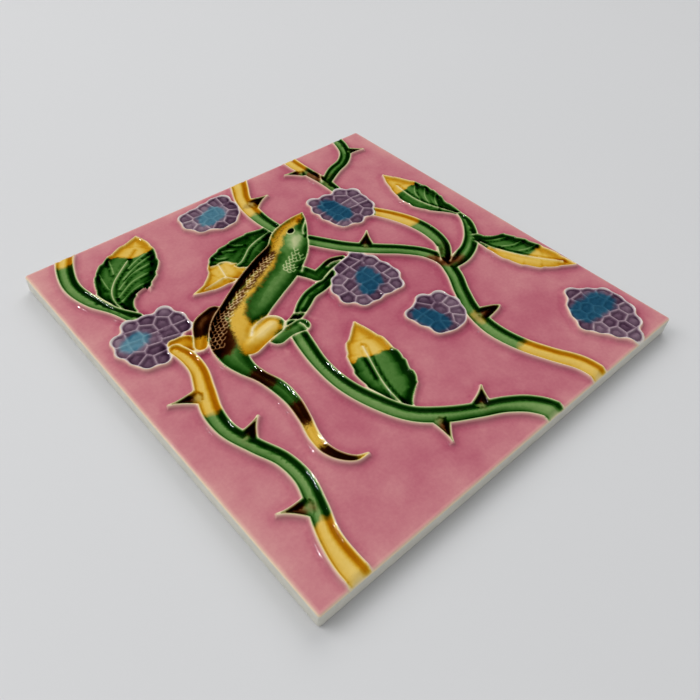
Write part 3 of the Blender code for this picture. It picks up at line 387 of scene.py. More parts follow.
MARKS_LEAF_LOWER_RIGHT = (
    ("amber", 1.0, ((58.6, -17.0, 0.0, 14.0), (60.0, -20.0, 0.0, 14.0), (63.4, -26.5, 0.2, 14.0),
                    (65.6, -29.4, 5.0, 14.0), (68.0, -32.5, 12.0, 14.0), (73.7, -40.2, 12.0, 14.0))),)
MARKS_LEAF_LOWER = (
    ("amber", 1.0, ((-26.0, -21.4, 18.0, 0.0), (-16.0, -24.4, 18.0, 0.0), (-5.0, -27.5, 18.0, 0.0),
                    (2.0, -29.0, 18.0, 0.0))),)
MARKS_BERRY_LEFT = (("teal", 0.95, ((-66.0, 24.0, 3.2), (-62.8, 24.8, 3.6))),
                    ("film", -0.5, ((-66.4, 24.2, 3.4), (-62.4, 24.8, 3.6))))
MARKS_BERRY_TOP = (("teal", 1.0, ((-11.4, 62.4, 3.6), (-6.6, 64.2, 4.2))),
                   ("film", -0.4, ((-11.6, 62.2, 4.4), (-6.4, 64.4, 4.6))))
MARKS_BERRY_RIGHT = (("teal", 1.0, ((29.0, 41.0, 3.8), (29.6, 34.4, 4.6))),)
MARKS_BERRY_MIDDLE = (("teal", 1.0, ((7.8, -3.4, 2.4), (11.4, -0.4, 4.4), (13.2, 3.0, 3.4))),)
MARKS_BERRY_SMALL = (("teal", 1.0, ((13.0, -23.2, 3.4), (14.6, -28.6, 4.4))),)
MARKS_BERRY_LOWER_RIGHT = (("teal", 1.0, ((55.4, -56.4, 4.8), (63.8, -57.0, 4.8))),)
MARKS_LIZARD = (
    ("amber", 1.0, ((-36.0, 1.6, 4.6), (-32.0, 3.4, 4.6), (-27.6, 4.6, 3.9))),
    ("brown", 0.9, ((6.0, 16.2, 0.9), (12.4, 15.8, 0.9))),
    ("film", -0.7, ((-36.0, 2.6, 1.8), (-31.5, 3.6, 3.2), (-27.6, 4.4, 3.2))),
    ("film", -0.75, ((3.4, 30.0, 2.0), (6.0, 31.8, 3.0), (9.0, 33.6, 2.2))))
# Strokes along the lizard: distance from the nose, distance left of the middle line, half widths
STROKE_BACK = ((22.0, -8.0, 1.6, 3.0), (25.0, -8.0, 2.6, 3.0), (29.0, -8.0, 3.7, 3.0),
               (37.0, -8.0, 3.9, 3.0), (41.0, -8.0, 3.2, 3.0), (49.0, -8.0, 3.0, 3.0),
               (53.0, -8.0, 2.6, 3.0), (57.0, -8.0, 3.4, 3.0), (61.0, -8.0, 3.8, 3.0),
               (66.0, -8.0, 5.4, 3.0))
STROKE_HIP = ((64.0, -5.6, 2.8), (67.0, -4.2, 3.4), (69.0, -3.4, 4.0), (73.0, -3.0, 4.2))
# What the thick film under those strokes gains in width over their brown
STROKE_FILM_GAIN = -1.2
STROKES_LIZARD = (
    ("amber", 1.0, ((2.0, -0.6, 1.3, 1.8), (7.0, -0.6, 1.1, 2.6), (11.0, -1.9, 1.1, 2.8),
                    (15.0, -2.8, 1.0, 3.0), (19.0, -3.4, 0.9, 3.0), (23.0, -3.4, 0.9, 2.6),
                    (27.0, -3.0, 0.7, 2.2), (33.0, -1.5, 0.9, 3.0), (41.0, -1.4, 0.9, 3.4),
                    (47.0, -1.2, 0.9, 3.6), (53.0, -1.6, 0.8, 3.6), (57.0, -0.6, 1.4, 3.4),
                    (61.0, 0.0, 2.2, 3.0), (64.0, 1.5, 3.6, 3.6), (68.0, 2.8, 4.2, 3.2),
                    (72.0, 4.4, 4.0, 2.6), (76.0, 5.4, 3.4, 2.2))),
    ("amber", 1.0, ((113.0, 0.0, 4.5), (117.0, 0.0, 4.5))),
    ("amber", 1.0, ((131.0, 0.0, 0.8), (133.0, 0.0, 1.0))),
    ("brown", 0.45, ((4.0, -1.8, 0.8), (9.0, -2.4, 1.0), (11.0, -3.6, 1.3), (15.0, -4.2, 1.4),
                     (19.0, -4.9, 1.3), (24.0, -5.4, 1.2))),
    ("brown", 0.9, ((26.0, -4.4, 1.4), (29.0, -3.8, 1.7), (33.0, -3.4, 1.6), (37.0, -3.3, 1.5),
                    (45.0, -3.3, 1.5), (53.0, -3.6, 1.8), (57.0, -3.6, 1.7), (61.0, -4.1, 1.7))),
    ("brown", 0.62, ((27.0, -1.9, 0.5), (33.0, -0.4, 0.6), (41.0, -0.2, 0.7), (49.0, 0.0, 0.7),
                     (55.0, 0.4, 0.7), (59.0, 2.2, 0.7), (61.0, 3.8, 0.6))),
    ("film", 0.7, ((27.0, -0.8, 0.8), (33.0, 0.6, 1.0), (41.0, 0.7, 1.1), (49.0, 0.7, 1.1),
                   (55.0, 1.5, 1.0), (59.0, 3.2, 1.2), (61.0, 5.0, 1.0))),
    ("film", -0.3, ((30.0, 4.4, 1.0), (40.0, 4.8, 1.3), (52.0, 5.0, 1.2))),
    ("film", -0.45, ((113.0, 0.0, 3.0), (117.0, 0.0, 3.0))),
    ("brown", 1.0, STROKE_BACK),
    ("brown", 1.0, STROKE_HIP),
    ("film", 0.8, STROKE_BACK, STROKE_FILM_GAIN),
    ("film", 0.8, STROKE_HIP, STROKE_FILM_GAIN),
    ("brown", 0.85, ((89.0, -0.5, 4.2), (90.0, -0.5, 4.2))),
    ("brown", 0.9, ((106.5, 0.0, 4.6), (107.5, 0.0, 4.6))),
    ("brown", 0.9, ((123.5, 0.0, 4.2), (127.5, 0.0, 3.6))))
MARKS_FAR_SHIN = (("amber", 1.0, ((-48.6, 9.2, 4.0), (-52.2, 13.6, 5.0), (-56.0, 16.0, 4.6))),)
MARKS_FAR_THIGH = (("amber", 1.0, ((-47.6, 12.6, 2.6), (-50.4, 9.0, 3.4))),
                   ("brown", 1.0, ((-37.0, 20.4, 4.0), (-43.4, 18.0, 4.0), (-46.4, 15.6, 2.6))),
                   ("film", -0.7, ((-45.0, 17.5, 0.3), (-41.5, 20.5, 0.3))))
MARKS_SHIN = (("amber", 0.5, ((-28.0, 1.0, 1.4), (-24.0, 0.0, 1.0))),
              ("film", -0.4, ((-29.0, -1.6, 2.4), (-20.0, -2.4, 2.2))))
# Strength of the brown on a thorn's foot, and what it gains in width
THORN_FOOT_MARK = 0.55
THORN_FOOT_GAIN = -1.2
# Width of a stroke's soft edge, how far it wanders and over what distance
BRUSH_FEATHER = 3.0
BRUSH_WANDER = 0.6
BRUSH_WANDER_LENGTH = 1.6
# Seeds of a form's first mark and of the streaks, and the step from a stroke's wander in X to Y
MARK_SEED = 20
STREAK_SEED = 7
SECOND_SEED_STEP = 50
# A form's brushed colours reach this far out over its wall
BRUSH_SPILL = 0.35
BRUSHED = ("amber", "brown", "teal")
# Bare streaks where the ground glaze drew back, and the share of it that they lost
STREAKS = (((-14.5, 0.0, 0.35), (-13.5, -2.5, 0.25)), ((-33.0, -3.5, 0.4), (-29.0, -8.0, 0.25)))
STREAK_LOSS = 0.6
# How bare a streak is at how far the stroke covers
STREAK_EDGE = ((1 / 3, 0.0), (1.0, 1.0))
GLAZES = ("rose", "stem", "leaf", "berry", "lizard")

# Noises of the finishes: waves to a metre, detail and roughness
CLOUDS = (70.0, 3.0, 0.55)
SPECKS = (900.0, 2.0, 0.6)
SKIN_WAVES = (260.0, 2.0, 0.5)
SKIN_PEEL = (1000.0, 1.0, 0.5)
GLOSS_CLOUDS = (120.0, 2.0, 0.5)
STAINS = (160.0, 4.0, 0.6)
GRAIN = (2200.0, 4.0, 0.7)
FLOOR_CLOUDS = (6.0, 2.0, 0.5)
# Waves to a metre in the ragged edge of a broad and a fine stroke, and its detail
BROAD_BRUSH = 500.0
FINE_BRUSH = 1500.0
BRUSH_DETAIL = 3.0
# Where a brushed mark starts to show and where it is full
BRUSH_RAMP = (0.15, 0.85)
# How strong each noise is: shares, and heights in metres
SKIN_PEEL_SHARE = 0.5
SKIN_HEIGHT = 0.0002
GLOSS_SPREAD = 0.03
GLAZE_IOR = 1.5
STAIN_SHADES = (0.8, 1.15)
GRAIN_HEIGHT = 0.0002
GRAIN_STRENGTH = 0.5
BISCUIT_ROUGHNESS = 0.7
SMOOTH_ANGLE = math.radians(60.0)

# Keying grooves in the back
KEY_WIDTH = 0.008
KEY_DEPTH = 0.001
KEY_SLOPE = 0.0006
KEY_LAND = 0.010
KEY_RIM = 0.010
KEY_ROUND = 0.0015
KEY_ROUND_STEPS = 4
# Rings of the side wall and worn bottom edge, as inset and height
SIDE_RINGS = ((0.0, 4.4), (0.0, 2.4), (0.0, 0.6), (0.12, 0.18), (0.5, 0.0))

# The camera, from the photograph's own perspective, in metres, degrees and millimetres of lens
CAMERA_PLACE = (-0.11968, -0.12233, 0.16159)
CAMERA_AIM = (-0.01980, -0.01473, 0.0065)
CAMERA_ROLL = 2.29
CAMERA_LENS = 35.61
CAMERA_SENSOR = 36.0
CAMERA_SHIFT = (0.0316, -0.0013)
CAMERA_NEAREST = 0.01

# The floor and the lights: each light's name, place and size. The soft lights show in the
# colours alone and the glint lights in the gloss alone
FLOOR_SIZE = 6.0
FLOOR_DROP = 0.0002
FLOOR_SHADES = (0.985, 1.015)
FLOOR_ROUGHNESS = 0.65
SKY_COLOUR = (0.97, 0.985, 1.0, 1.0)
KEY_LIGHT = ("key", (-0.8, 0.8, 1.2), 1.2)
FILL_LIGHT = ("fill", (1.1, 0.9, 1.4), 1.5)
GLINT_LIGHTS = (("glint_middle", (-0.60, 0.60, 0.84), 0.03), ("glint_low", (-0.76, 0.60, 0.71), 0.03))


class TileSizes(bpy.types.PropertyGroup):
    """Sizes of the pressed tile."""
    thickness: bpy.props.FloatProperty(
        name="Body thickness", description="From the back to the ground of the face",
        default=0.0065, min=0.003, unit="LENGTH")
    corner_radius: bpy.props.FloatProperty(
        name="Corner radius", description="Rounding of the corners in plan", default=0.0009,
        min=0.0005, unit="LENGTH")
    arris_radius: bpy.props.FloatProperty(
        name="Arris radius", description="Rounding of the edge of the face", default=0.0008,
        min=0.0002, unit="LENGTH")
    ridge_height: bpy.props.FloatProperty(
        name="Ridge height", description="Raised outlines above the ground", default=0.0013,
        min=0.0002, unit="LENGTH")
    wall_width: bpy.props.FloatProperty(
        name="Wall width", description="From the toe of a form to the top of its outline",
        default=0.0009, min=0.0002, unit="LENGTH")
    pool_width: bpy.props.FloatProperty(
        name="Pool width", description="From the top of an outline to the bottom of the pool",
        default=0.0011, min=0.0002, unit="LENGTH")
    unevenness: bpy.props.FloatProperty(
        name="Unevenness", description="Soft waves of the glazed ground", default=0.00004,
        min=0.0, unit="LENGTH")


class TileGlazes(bpy.types.PropertyGroup):
    """Colours of the clay, and of white light after one layer of each glaze."""
    clay: bpy.props.FloatVectorProperty(
        name="Clay", description="Fired cream body under clear glaze", subtype="COLOR",
        default=(0.88, 0.74, 0.50), min=0.0, max=1.0)
    slip: bpy.props.FloatVectorProperty(
        name="Slip", description="Pale coat under the glaze of the berries", subtype="COLOR",
        default=(0.84, 0.78, 0.70), min=0.0, max=1.0)
    rose: bpy.props.FloatVectorProperty(
        name="Rose", description="Ground glaze", subtype="COLOR",
        default=(0.585, 0.23, 0.405), min=0.0, max=1.0)
    green: bpy.props.FloatVectorProperty(
        name="Green", description="Stems, leaves and lizard", subtype="COLOR",
        default=(0.037, 0.155, 0.031), min=0.0, max=1.0)
    amber: bpy.props.FloatVectorProperty(
        name="Amber", description="Brushed yellow", subtype="COLOR",
        default=(0.69, 0.45, 0.055), min=0.0, max=1.0)
    brown: bpy.props.FloatVectorProperty(
        name="Brown", description="Brushed brown black", subtype="COLOR",
        default=(0.05, 0.015, 0.004), min=0.0, max=1.0)
    purple: bpy.props.FloatVectorProperty(
        name="Purple", description="Drupelets", subtype="COLOR",
        default=(0.155, 0.095, 0.16), min=0.0, max=1.0)
    teal: bpy.props.FloatVectorProperty(
        name="Teal", description="Brushed patch on each berry", subtype="COLOR",
        default=(0.03, 0.13, 0.235), min=0.0, max=1.0)
    biscuit: bpy.props.FloatVectorProperty(
        name="Biscuit", description="Unglazed sides and back", subtype="COLOR",
        default=(0.70, 0.68, 0.60), min=0.0, max=1.0)


class TileStage(bpy.types.PropertyGroup):
    """The floor, the even light and the lamps."""
    floor: bpy.props.FloatVectorProperty(
        name="Floor", description="Colour of the floor", subtype="COLOR",
        default=(0.65, 0.65, 0.655), min=0.0, max=1.0)
    sky: bpy.props.FloatProperty(
        name="Sky", description="Strength of the even light", default=0.50, min=0.0)
    key: bpy.props.FloatProperty(
        name="Key", description="Power of the large soft light on the left", default=13.0,
        min=0.0, unit="POWER")
    fill: bpy.props.FloatProperty(
        name="Fill", description="Power of the large soft light on the far side", default=15.0,
        min=0.0, unit="POWER")
    glint: bpy.props.FloatProperty(
        name="Glint", description="Power of the small lights that the ridges mirror",
        default=2.4, min=0.0, unit="POWER")


def stations_of(band):
    """A band's stations as rows of x, y, left and right half widths."""
    rows = [row if len(row) == 4 else (row[0], row[1], row[2], row[2]) for row in band]
    return np.array(rows, dtype=float)


def smooth_run(rows, step):
    """Rows read along a smooth curve through the given rows, about a step apart."""
    gaps = np.hypot(*(rows[1:, :2] - rows[:-1, :2]).T)
    along = np.concatenate(([0.0], np.cumsum(gaps)))
    rate = (rows[1:] - rows[:-1]) / gaps[:, None]
    slope = np.empty_like(rows)
    slope[0], slope[-1] = rate[0], rate[-1]
    before, after = gaps[:-1, None], gaps[1:, None]
    slope[1:-1] = (rate[:-1] * after + rate[1:] * before) / (before + after)
    places = np.linspace(0.0, along[-1], max(3, int(round(along[-1] / step)) + 1))
    index = np.clip(np.searchsorted(along, places, side="right") - 1, 0, len(gaps) - 1)
    gap = gaps[index][:, None]
    t = ((places - along[index]) / gaps[index])[:, None]
    return ((2 * t**3 - 3 * t**2 + 1) * rows[index] + (t**3 - 2 * t**2 + t) * gap * slope[index]
            + (3 * t**2 - 2 * t**3) * rows[index + 1] + (t**3 - t**2) * gap * slope[index + 1])


def thorn_band(thorn):
    """A thorn as a band that narrows from its base to its tip."""
    (x, y), half_width, (tip_x, tip_y), hollow = thorn
    return tuple((x + s * (tip_x - x), y + s * (tip_y - y),
                  THORN_TIP_WIDTH + (half_width - THORN_TIP_WIDTH) * (1.0 - s)**hollow)
                 for s in THORN_PLACES)


def drupelet_centres(rows):
    """The middles of a berry's drupelets."""
    centres = []
    for x0, y0, x1, y1, count in rows:
        for share in (np.linspace(0.0, 1.0, count) if count > 1 else (0.0,)):
            centres.append((x0 + share * (x1 - x0), y0 + share * (y1 - y0)))
    rng = np.random.default_rng(len(centres))
    return np.array(centres) + rng.uniform(-DRUPELET_STRAY, DRUPELET_STRAY, (len(centres), 2))


def circle(radius, step):
    """Points round a circle about the origin, about a step apart."""
    count = max(8, int(round(2 * math.pi * radius / step)))
    turn = np.linspace(0.0, 2 * math.pi, count, endpoint=False)
    return radius * np.column_stack((np.cos(turn), np.sin(turn)))


def wobble(points, size, seed):
    """A soft random rise and fall between -1 and 1, over patches of a size."""
    table = np.random.default_rng(seed).uniform(-1.0, 1.0, (WAVE_TABLE, WAVE_TABLE))
    cell = points / size + WAVE_START
    base = np.floor(cell).astype(int)
    share = cell - base
    share = share**2 * (3 - 2 * share)
    (row, column), (u, v) = base.T % WAVE_TABLE, share.T
    row_after, column_after = (row + 1) % WAVE_TABLE, (column + 1) % WAVE_TABLE
    here = table[row, column] * (1 - u) + table[row_after, column] * u
    after = table[row, column_after] * (1 - u) + table[row_after, column_after] * u
    return here * (1 - v) + after * v


def soft_waves(points, parts):
    """Several soft random rises and falls together, each with its size, share and seed."""
    return sum(share * wobble(points, size, seed) for size, share, seed in parts)


def read_curve(curve, places):
    """Values of a curve, given as pairs, at places."""
    return np.interp(places, *zip(*curve))


def to_run(points, run):
    """Each point's distance from a run of straight stretches, and whether it lies on the left."""
    start, stretch = run[:-1], run[1:] - run[:-1]
    offset = points[:, None, :] - start[None]
    share = np.clip((offset * stretch).sum(2) / (stretch**2).sum(1), 0.0, 1.0)
    away = offset - share[:, :, None] * stretch
    distance = np.sqrt((away**2).sum(2))
    nearest = distance.argmin(1)
    row = np.arange(len(points))
    ahead, away = stretch[nearest], away[row, nearest]
    return distance[row, nearest], ahead[:, 0] * away[:, 1] - ahead[:, 1] * away[:, 0] > 0


def widen(stations, by=0.0):
    """A band's stations with its left half widths changed, or both where it has only one."""
    return tuple((x, y, max(0.0, width + by), *other) for x, y, width, *other in stations)


def cover(points, stations, seed):
    """How far a stroke of the brush covers each point, from 0 to 1 over a soft edge."""
    wander = np.column_stack([wobble(points, BRUSH_WANDER_LENGTH, each)
                              for each in (seed, seed + SECOND_SEED_STEP)])
    depth = Band(stations).depth(points + BRUSH_WANDER * wander)
    return np.clip(0.5 + depth / BRUSH_FEATHER, 0.0, 1.0)


def within(points, low, high):
    """The numbers of the points inside a box."""
    return np.flatnonzero(np.all((points > low) & (points < high), axis=1))


class Band:
    """A run with a middle line and a half width on either side."""

    # Half of the stretch that directions and widths are read over
    REACH = 0.4
    # A change of width steeper than this counts as this steep
    STEEPEST_EDGE = 2.5
    # Points are measured in parts of this many, to spare memory
    CHUNK = 4000
    SMALLEST_END = 0.3

    def __init__(self, stations, tooth_height=0.0):
        self.rows = smooth_run(stations_of(stations), CURVE_STEP)
        steps = np.hypot(*(self.rows[1:, :2] - self.rows[:-1, :2]).T)
        self.along = np.concatenate(([0.0], np.cumsum(steps)))
        self.tooth_height = tooth_height
        widest = self.rows[:, 2:].max() + tooth_height
        self.low = self.rows[:, :2].min(0) - widest
        self.high = self.rows[:, :2].max(0) + widest

    def half_width(self, along, left):
        """The half width at distances along the middle line, with the teeth of a leaf's edge."""
        width = np.where(left, np.interp(along, self.along, self.rows[:, 2]),
                         np.interp(along, self.along, self.rows[:, 3]))
        if self.tooth_height:
            phase = (along - TOOTH_LEAD) / TOOTH_PITCH % 1.0
            fall = (1.0 - phase) * TOOTH_RISE / (1.0 - TOOTH_RISE)
            tooth = np.minimum(phase, fall) - TOOTH_RISE / 2
            width = width + self.tooth_height * np.clip(width / TOOTHED_WIDTH, 0.0, 1.0) * tooth
        return width

    def slant(self, along, left):
        """How much longer the edge is than the middle line, where the width changes."""
        change = (self.half_width(along + self.REACH, left)
                  - self.half_width(along - self.REACH, left)) / (2 * self.REACH)
        return np.sqrt(1.0 + np.clip(change, -self.STEEPEST_EDGE, self.STEEPEST_EDGE)**2)

    def place(self, along):
        """The points at distances along the middle line."""
        return np.column_stack([np.interp(along, self.along, self.rows[:, k]) for k in (0, 1)])

    def across(self, along):
        """The directions square to the middle line, to its left."""
        ahead = self.place(along + self.REACH) - self.place(along - self.REACH)
        ahead /= np.hypot(*ahead.T)[:, None]
        return np.column_stack((-ahead[:, 1], ahead[:, 0]))

    def measure(self, points):
        """Each point's depth inside the edge, its distance along and its signed distance off."""
        if len(points) > self.CHUNK:
            parts = [self.measure(points[first:first + self.CHUNK])
                     for first in range(0, len(points), self.CHUNK)]
            return tuple(np.concatenate(values) for values in zip(*parts))
        start, run = self.rows[:-1, :2], self.rows[1:, :2] - self.rows[:-1, :2]
        length = (run**2).sum(1)
        offset = points[:, None, :] - start[None]
        share = np.clip((offset * run).sum(2) / length, 0.0, 1.0)
        away = offset - share[:, :, None] * run
        distance = np.sqrt((away**2).sum(2))
        nearest = distance.argmin(1)
        row = np.arange(len(points))
        share, away, distance = share[row, nearest], away[row, nearest], distance[row, nearest]
        left = run[nearest, 0] * away[:, 1] - run[nearest, 1] * away[:, 0] > 0
        along = self.along[nearest] + share * np.sqrt(length[nearest])
        depth = (self.half_width(along, left) - distance) / self.slant(along, left)
        return depth, along, np.where(left, distance, -distance)

    def depth(self, points):
        """Each point's depth inside the edge, below zero outside it and far below it far off."""
        depth = np.full(len(points), -2.0 * SEARCH_MARGIN)
        near = within(points, self.low - SEARCH_MARGIN, self.high + SEARCH_MARGIN)
        if len(near):
            depth[near] = self.measure(points[near])[0]
        return depth

    def spaced(self, step):
        """Distances along the middle line, about a step apart."""
        return np.linspace(0.0, self.along[-1], max(3, int(round(self.along[-1] / step)) + 1))

    def side_lines(self, outwards, step):
        """The two lines that run a distance outwards of the edges."""
        along = self.spaced(step)
        for side, left in ((1, True), (-1, False)):
            reach = self.half_width(along, left) + outwards * self.slant(along, left)
            line = self.place(along) + side * reach[:, None] * self.across(along)
            yield line[reach > 0.0]

    def end_lines(self, outwards, step):
        """The arcs that run a distance outwards of the two ends."""
        for end, along, sign in ((0, 0.0, -1), (-1, self.along[-1], 1)):
            radius = self.rows[end, 2] + outwards
            if radius > self.SMALLEST_END:
                across = self.across(np.array([along]))[0]
                ahead = sign * np.array((across[1], -across[0]))
                count = max(4, int(math.pi * radius / step))
                turn = np.linspace(-math.pi / 2, math.pi / 2, count)[:, None]
                middle = self.place(np.array([along]))[0]
                yield middle + radius * (np.cos(turn) * ahead + np.sin(turn) * across)


class RaisedLine:
    """A fine ridge or crease on a form, up to a height of its own or above what it lies on."""

    def __init__(self, run, half_width, top=0.0, rise=0.0, left=FILM_LINE, right=FILM_LINE):
        rows = smooth_run(np.array([(x, y, 0.0, 0.0) for x, y in run]), CREST_STEP)
        self.run = rows[:, :2]
        self.half_width, self.top, self.rise = half_width, top, rise
        self.left, self.right = left, right
        reach = half_width * max(left[-1][0], right[-1][0])
        self.low, self.high = self.run.min(0) - reach, self.run.max(0) + reach

    def add(self, points, height, film):
        """Raises the line on the heights, and thins the glaze on it and thickens it beside it."""
        near = within(points, self.low, self.high)
        if not len(near):
            return
        away, left = to_run(points[near], self.run)
        away /= self.half_width
        bump = 0.5 + 0.5 * np.cos(math.pi * np.clip(away, 0.0, 1.0))
        height[near] = np.maximum(height[near] + self.rise * bump, self.top * bump)
        film[near] *= np.where(left, read_curve(self.left, away), read_curve(self.right, away))

    def lines(self):
        """The line and one on either side of it."""
        ahead = np.gradient(self.run, axis=0)
        ahead /= np.hypot(*ahead.T)[:, None]
        across = np.column_stack((-ahead[:, 1], ahead[:, 0]))
        for side in (0.0, 1.0, -1.0):
            yield self.run + side * self.half_width * across


class Form:
    """Bands that grow into each other, with one pool and crown and one glaze."""

    def __init__(self, glaze, bands, section, film, fill=FORM_FILL, ridges=(), marks=()):
        self.glaze, self.bands, self.film, self.fill, self.ridges = glaze, bands, film, fill, ridges
        self.pool, self.crown, self.crown_width = section
        self.marks = marks
        self.low = np.min([band.low for band in bands], axis=0)
        self.high = np.max([band.high for band in bands], axis=0)

    def depth(self, points):
        """Each point's depth inside the form's edge, below zero outside it."""
        return np.max([band.depth(points) for band in self.bands], axis=0)

    def shade_widening(self, points, depth, reach):
        """How much the pool widens, as painted shade, on the side that a point lies on, from -1 to 1."""
        before = self.depth(points - SHADE_SIDE_STEP * np.array(SHADE_SIDE_DIRECTION))
        tilt = np.clip((before - depth) / SHADE_SIDE_STEP, -1.0, 1.0)
        return SHADE_SIDE_WIDENING[self.glaze] * tilt * np.clip(1.0 - depth / reach, 0.0, 1.0)

    def surface(self, points, depth, cut):
        """Heights above the ground and glaze thickness inside the form."""
        height = cut.across_edge(depth, self.pool, self.crown, self.crown_width)
        # Painted shade: the pools widen on the side away from the light
        shade_widening = self.shade_widening(points, depth, cut.pool_width + SHADE_SIDE_REACH * self.crown_width)
        film = np.minimum(read_curve(FILM_RISE, depth), read_curve(self.film, depth / (1.0 + shade_widening)))
        for ridge in self.ridges:
            ridge.add(points, height, film)
        return height, film

    def marked(self, points, kind):
        """How strongly one kind of brush mark covers each point."""
        total = np.zeros(len(points))
        for number, (name, strength, stations, *widened) in enumerate(self.marks):
            if name == kind:
                share = strength * cover(points, widen(stations, *widened), MARK_SEED + number)
                total = np.where(np.abs(share) > np.abs(total), share, total)
        return total

    def edge_lines(self, outwards, step):
        """Lines a distance outwards of the form's edge."""
        for band in self.bands:
            for line in (*band.side_lines(outwards, step), *band.end_lines(outwards, step)):
                if len(line):
                    yield line[np.abs(self.depth(line) + outwards) < LINE_STRAY]

    def inner_lines(self):
        """Lines of the form's fine ridges."""
        for ridge in self.ridges:
            yield from ridge.lines()


class Lizard(Form):
    """The lizard's near side, with its eye."""

    # Directions along the eye and across it
    EYE_AXES = np.array(((math.cos(EYE_TURN), math.sin(EYE_TURN)),
                         (-math.sin(EYE_TURN), math.cos(EYE_TURN))))
    EYE_RADII = np.array((EYE_HALF_LENGTH, EYE_HALF_WIDTH))

    def eye_distance(self, points):
        """Distance from the eye's middle, where 1 is its rim."""
        return np.hypot(*((points - np.array(EYE_PLACE)) @ self.EYE_AXES.T / self.EYE_RADII).T)

    def surface(self, points, depth, cut):
        height, film = super().surface(points, depth, cut)
        away = self.eye_distance(points)
        height += read_curve(EYE_RELIEF, away)
        lower = np.clip(1.0 - (points[:, 1] - EYE_PLACE[1]), EYE_RING_ABOVE, 1.0)
        film *= 1.0 - lower * read_curve(EYE_RING_BARE, np.abs(away - EYE_RING))
        film[away < EYE_FILM_REACH] = EYE_FILM
        return height, film

    def inner_lines(self):
        yield from super().inner_lines()
        rim = circle(1.0, EYE_LINE_STEP) * self.EYE_RADII @ self.EYE_AXES
        for share in EYE_LINES:
            yield np.array(EYE_PLACE) + share * rim


class Berry(Form):
    """Rows of drupelets, parted by ridges."""

    # Lines of points beside each parting, as distances in from it
    PARTING_LINES = (0.0, 0.3, 0.6, 1.0)
    PARTING_STRAY = 0.05
    # A line is moved onto the outline in this many passes. The outline counts as no flatter, and a
    # drupelet's middle as no nearer, than this
    PASSES = 3
    FLATTEST = 0.3
    NEAREST = 0.01

    def __init__(self, rows, marks):
        runs = [Band(((x0, y0, ROW_HALF_WIDTH), (x1, y1, ROW_HALF_WIDTH)))
                for x0, y0, x1, y1, count in rows if count > 1]
        super().__init__("berry", runs, (BERRY_POOL, BERRY_CROWN, BERRY_CROWN_WIDTH), FILM_BERRY,
                         marks=marks)
        self.centres = drupelet_centres(rows)
        self.low = self.centres.min(0) - DRUPELET_RADIUS
        self.high = self.centres.max(0) + DRUPELET_RADIUS

    def distances(self, points):
        """The distance of each point from each drupelet's middle."""
        return np.hypot(points[:, None, 0] - self.centres[None, :, 0],
                        points[:, None, 1] - self.centres[None, :, 1])

    def blended(self, distances):
        """Depth inside the outline that all the drupelets share, rounded where they meet."""
        blend = np.exp((DRUPELET_RADIUS - distances) / DRUPELET_BLEND).sum(1)
        return DRUPELET_BLEND * np.log(blend) - DRUPELET_LOSS

    def depth(self, points):
        distances = self.distances(points)
        return np.maximum(self.blended(distances), DRUPELET_RADIUS - distances.min(1))

    def surface(self, points, depth, cut):
        distances = self.distances(points)
        order = np.argsort(distances, axis=1)[:, :2]
        row = np.arange(len(points))
        near, far = distances[row, order[:, 0]], distances[row, order[:, 1]]
        apart = np.hypot(*(self.centres[order[:, 0]] - self.centres[order[:, 1]]).T)
        cell = np.minimum(depth, (far**2 - near**2) / (2 * apart))
        inside = self.blended(distances)
        patch = self.marked(points, "teal") * np.clip(inside, 0.0, 1.0)
        height = cut.across_edge(cell, self.pool, self.crown, self.crown_width)
        height += PATCH_RELIEF_SHARE * patch * (self.crown - height)
        tone = np.random.default_rng(len(self.centres)).uniform(*DRUPELET_TONES, len(self.centres))
        film = read_curve(FILM_CELL, cell) * read_curve(FILM_BERRY, inside) * tone[order[:, 0]]
        film += PATCH_FILM_SHARE * patch * (PATCH_FILM - film)
        return height, np.minimum(read_curve(FILM_RISE, inside), film)

    def edge_lines(self, outwards, step):
        rims = [circle(DRUPELET_RADIUS + outwards, step) + centre for centre in self.centres]
        for band in self.bands:
            rims.extend(band.side_lines(outwards, step))
        for line in rims:
            for _ in range(self.PASSES):
                line = self.settled(line, outwards)
            yield line[np.abs(self.depth(line) + outwards) < LINE_STRAY]

    def settled(self, line, outwards):
        """A line moved across the outline, nearer to a distance outwards of it."""
        away = line[:, None] - self.centres[None]
        distances = np.maximum(np.hypot(away[..., 0], away[..., 1]), self.NEAREST)
        share = np.exp((DRUPELET_RADIUS - distances) / DRUPELET_BLEND)
        ahead = (away * (share / distances)[..., None]).sum(1) / share.sum(1)[:, None]
        off = (self.depth(line) + outwards) / np.maximum((ahead**2).sum(1), self.FLATTEST)
        return line + off[:, None] * ahead

    def inner_lines(self):
        for centre in self.centres:
            yield centre[None, :]
            yield centre + circle(1.0, LINE_STEP)
        reach = np.arange(-DRUPELET_RADIUS, DRUPELET_RADIUS, CREST_STEP)[:, None]
        for inwards, centre, other in itertools.product(self.PARTING_LINES, self.centres, self.centres):
            apart = other - centre
            length = np.hypot(*apart)
            if 0.0 < length < 2 * DRUPELET_RADIUS:
                ahead = apart / length
                across = np.array((-ahead[1], ahead[0]))
                line = centre + (length / 2 - inwards) * ahead + reach * across
                own = np.hypot(*(line - centre).T)
                mine = self.distances(line).min(1) > own - self.PARTING_STRAY
                yield line[mine & (self.depth(line) > inwards)]


def along_body(mark):
    """A mark whose stroke runs beside the lizard's middle line, as one in the drawing."""
    kind, strength, rows, *widened = mark
    body = Band(LIZARD_BODY)
    along, off = np.array([row[:2] for row in rows]).T
    places = body.place(along) + off[:, None] * body.across(along)
    return (kind, strength, tuple((*place, *row[2:]) for place, row in zip(places, rows)), *widened)


def raised(runs, half_width, top, left=FILM_LINE, right=FILM_LINE):
    """Ridges along runs, up to one height."""
    return [RaisedLine(run, half_width, top=top, left=left, right=right) for run in runs]


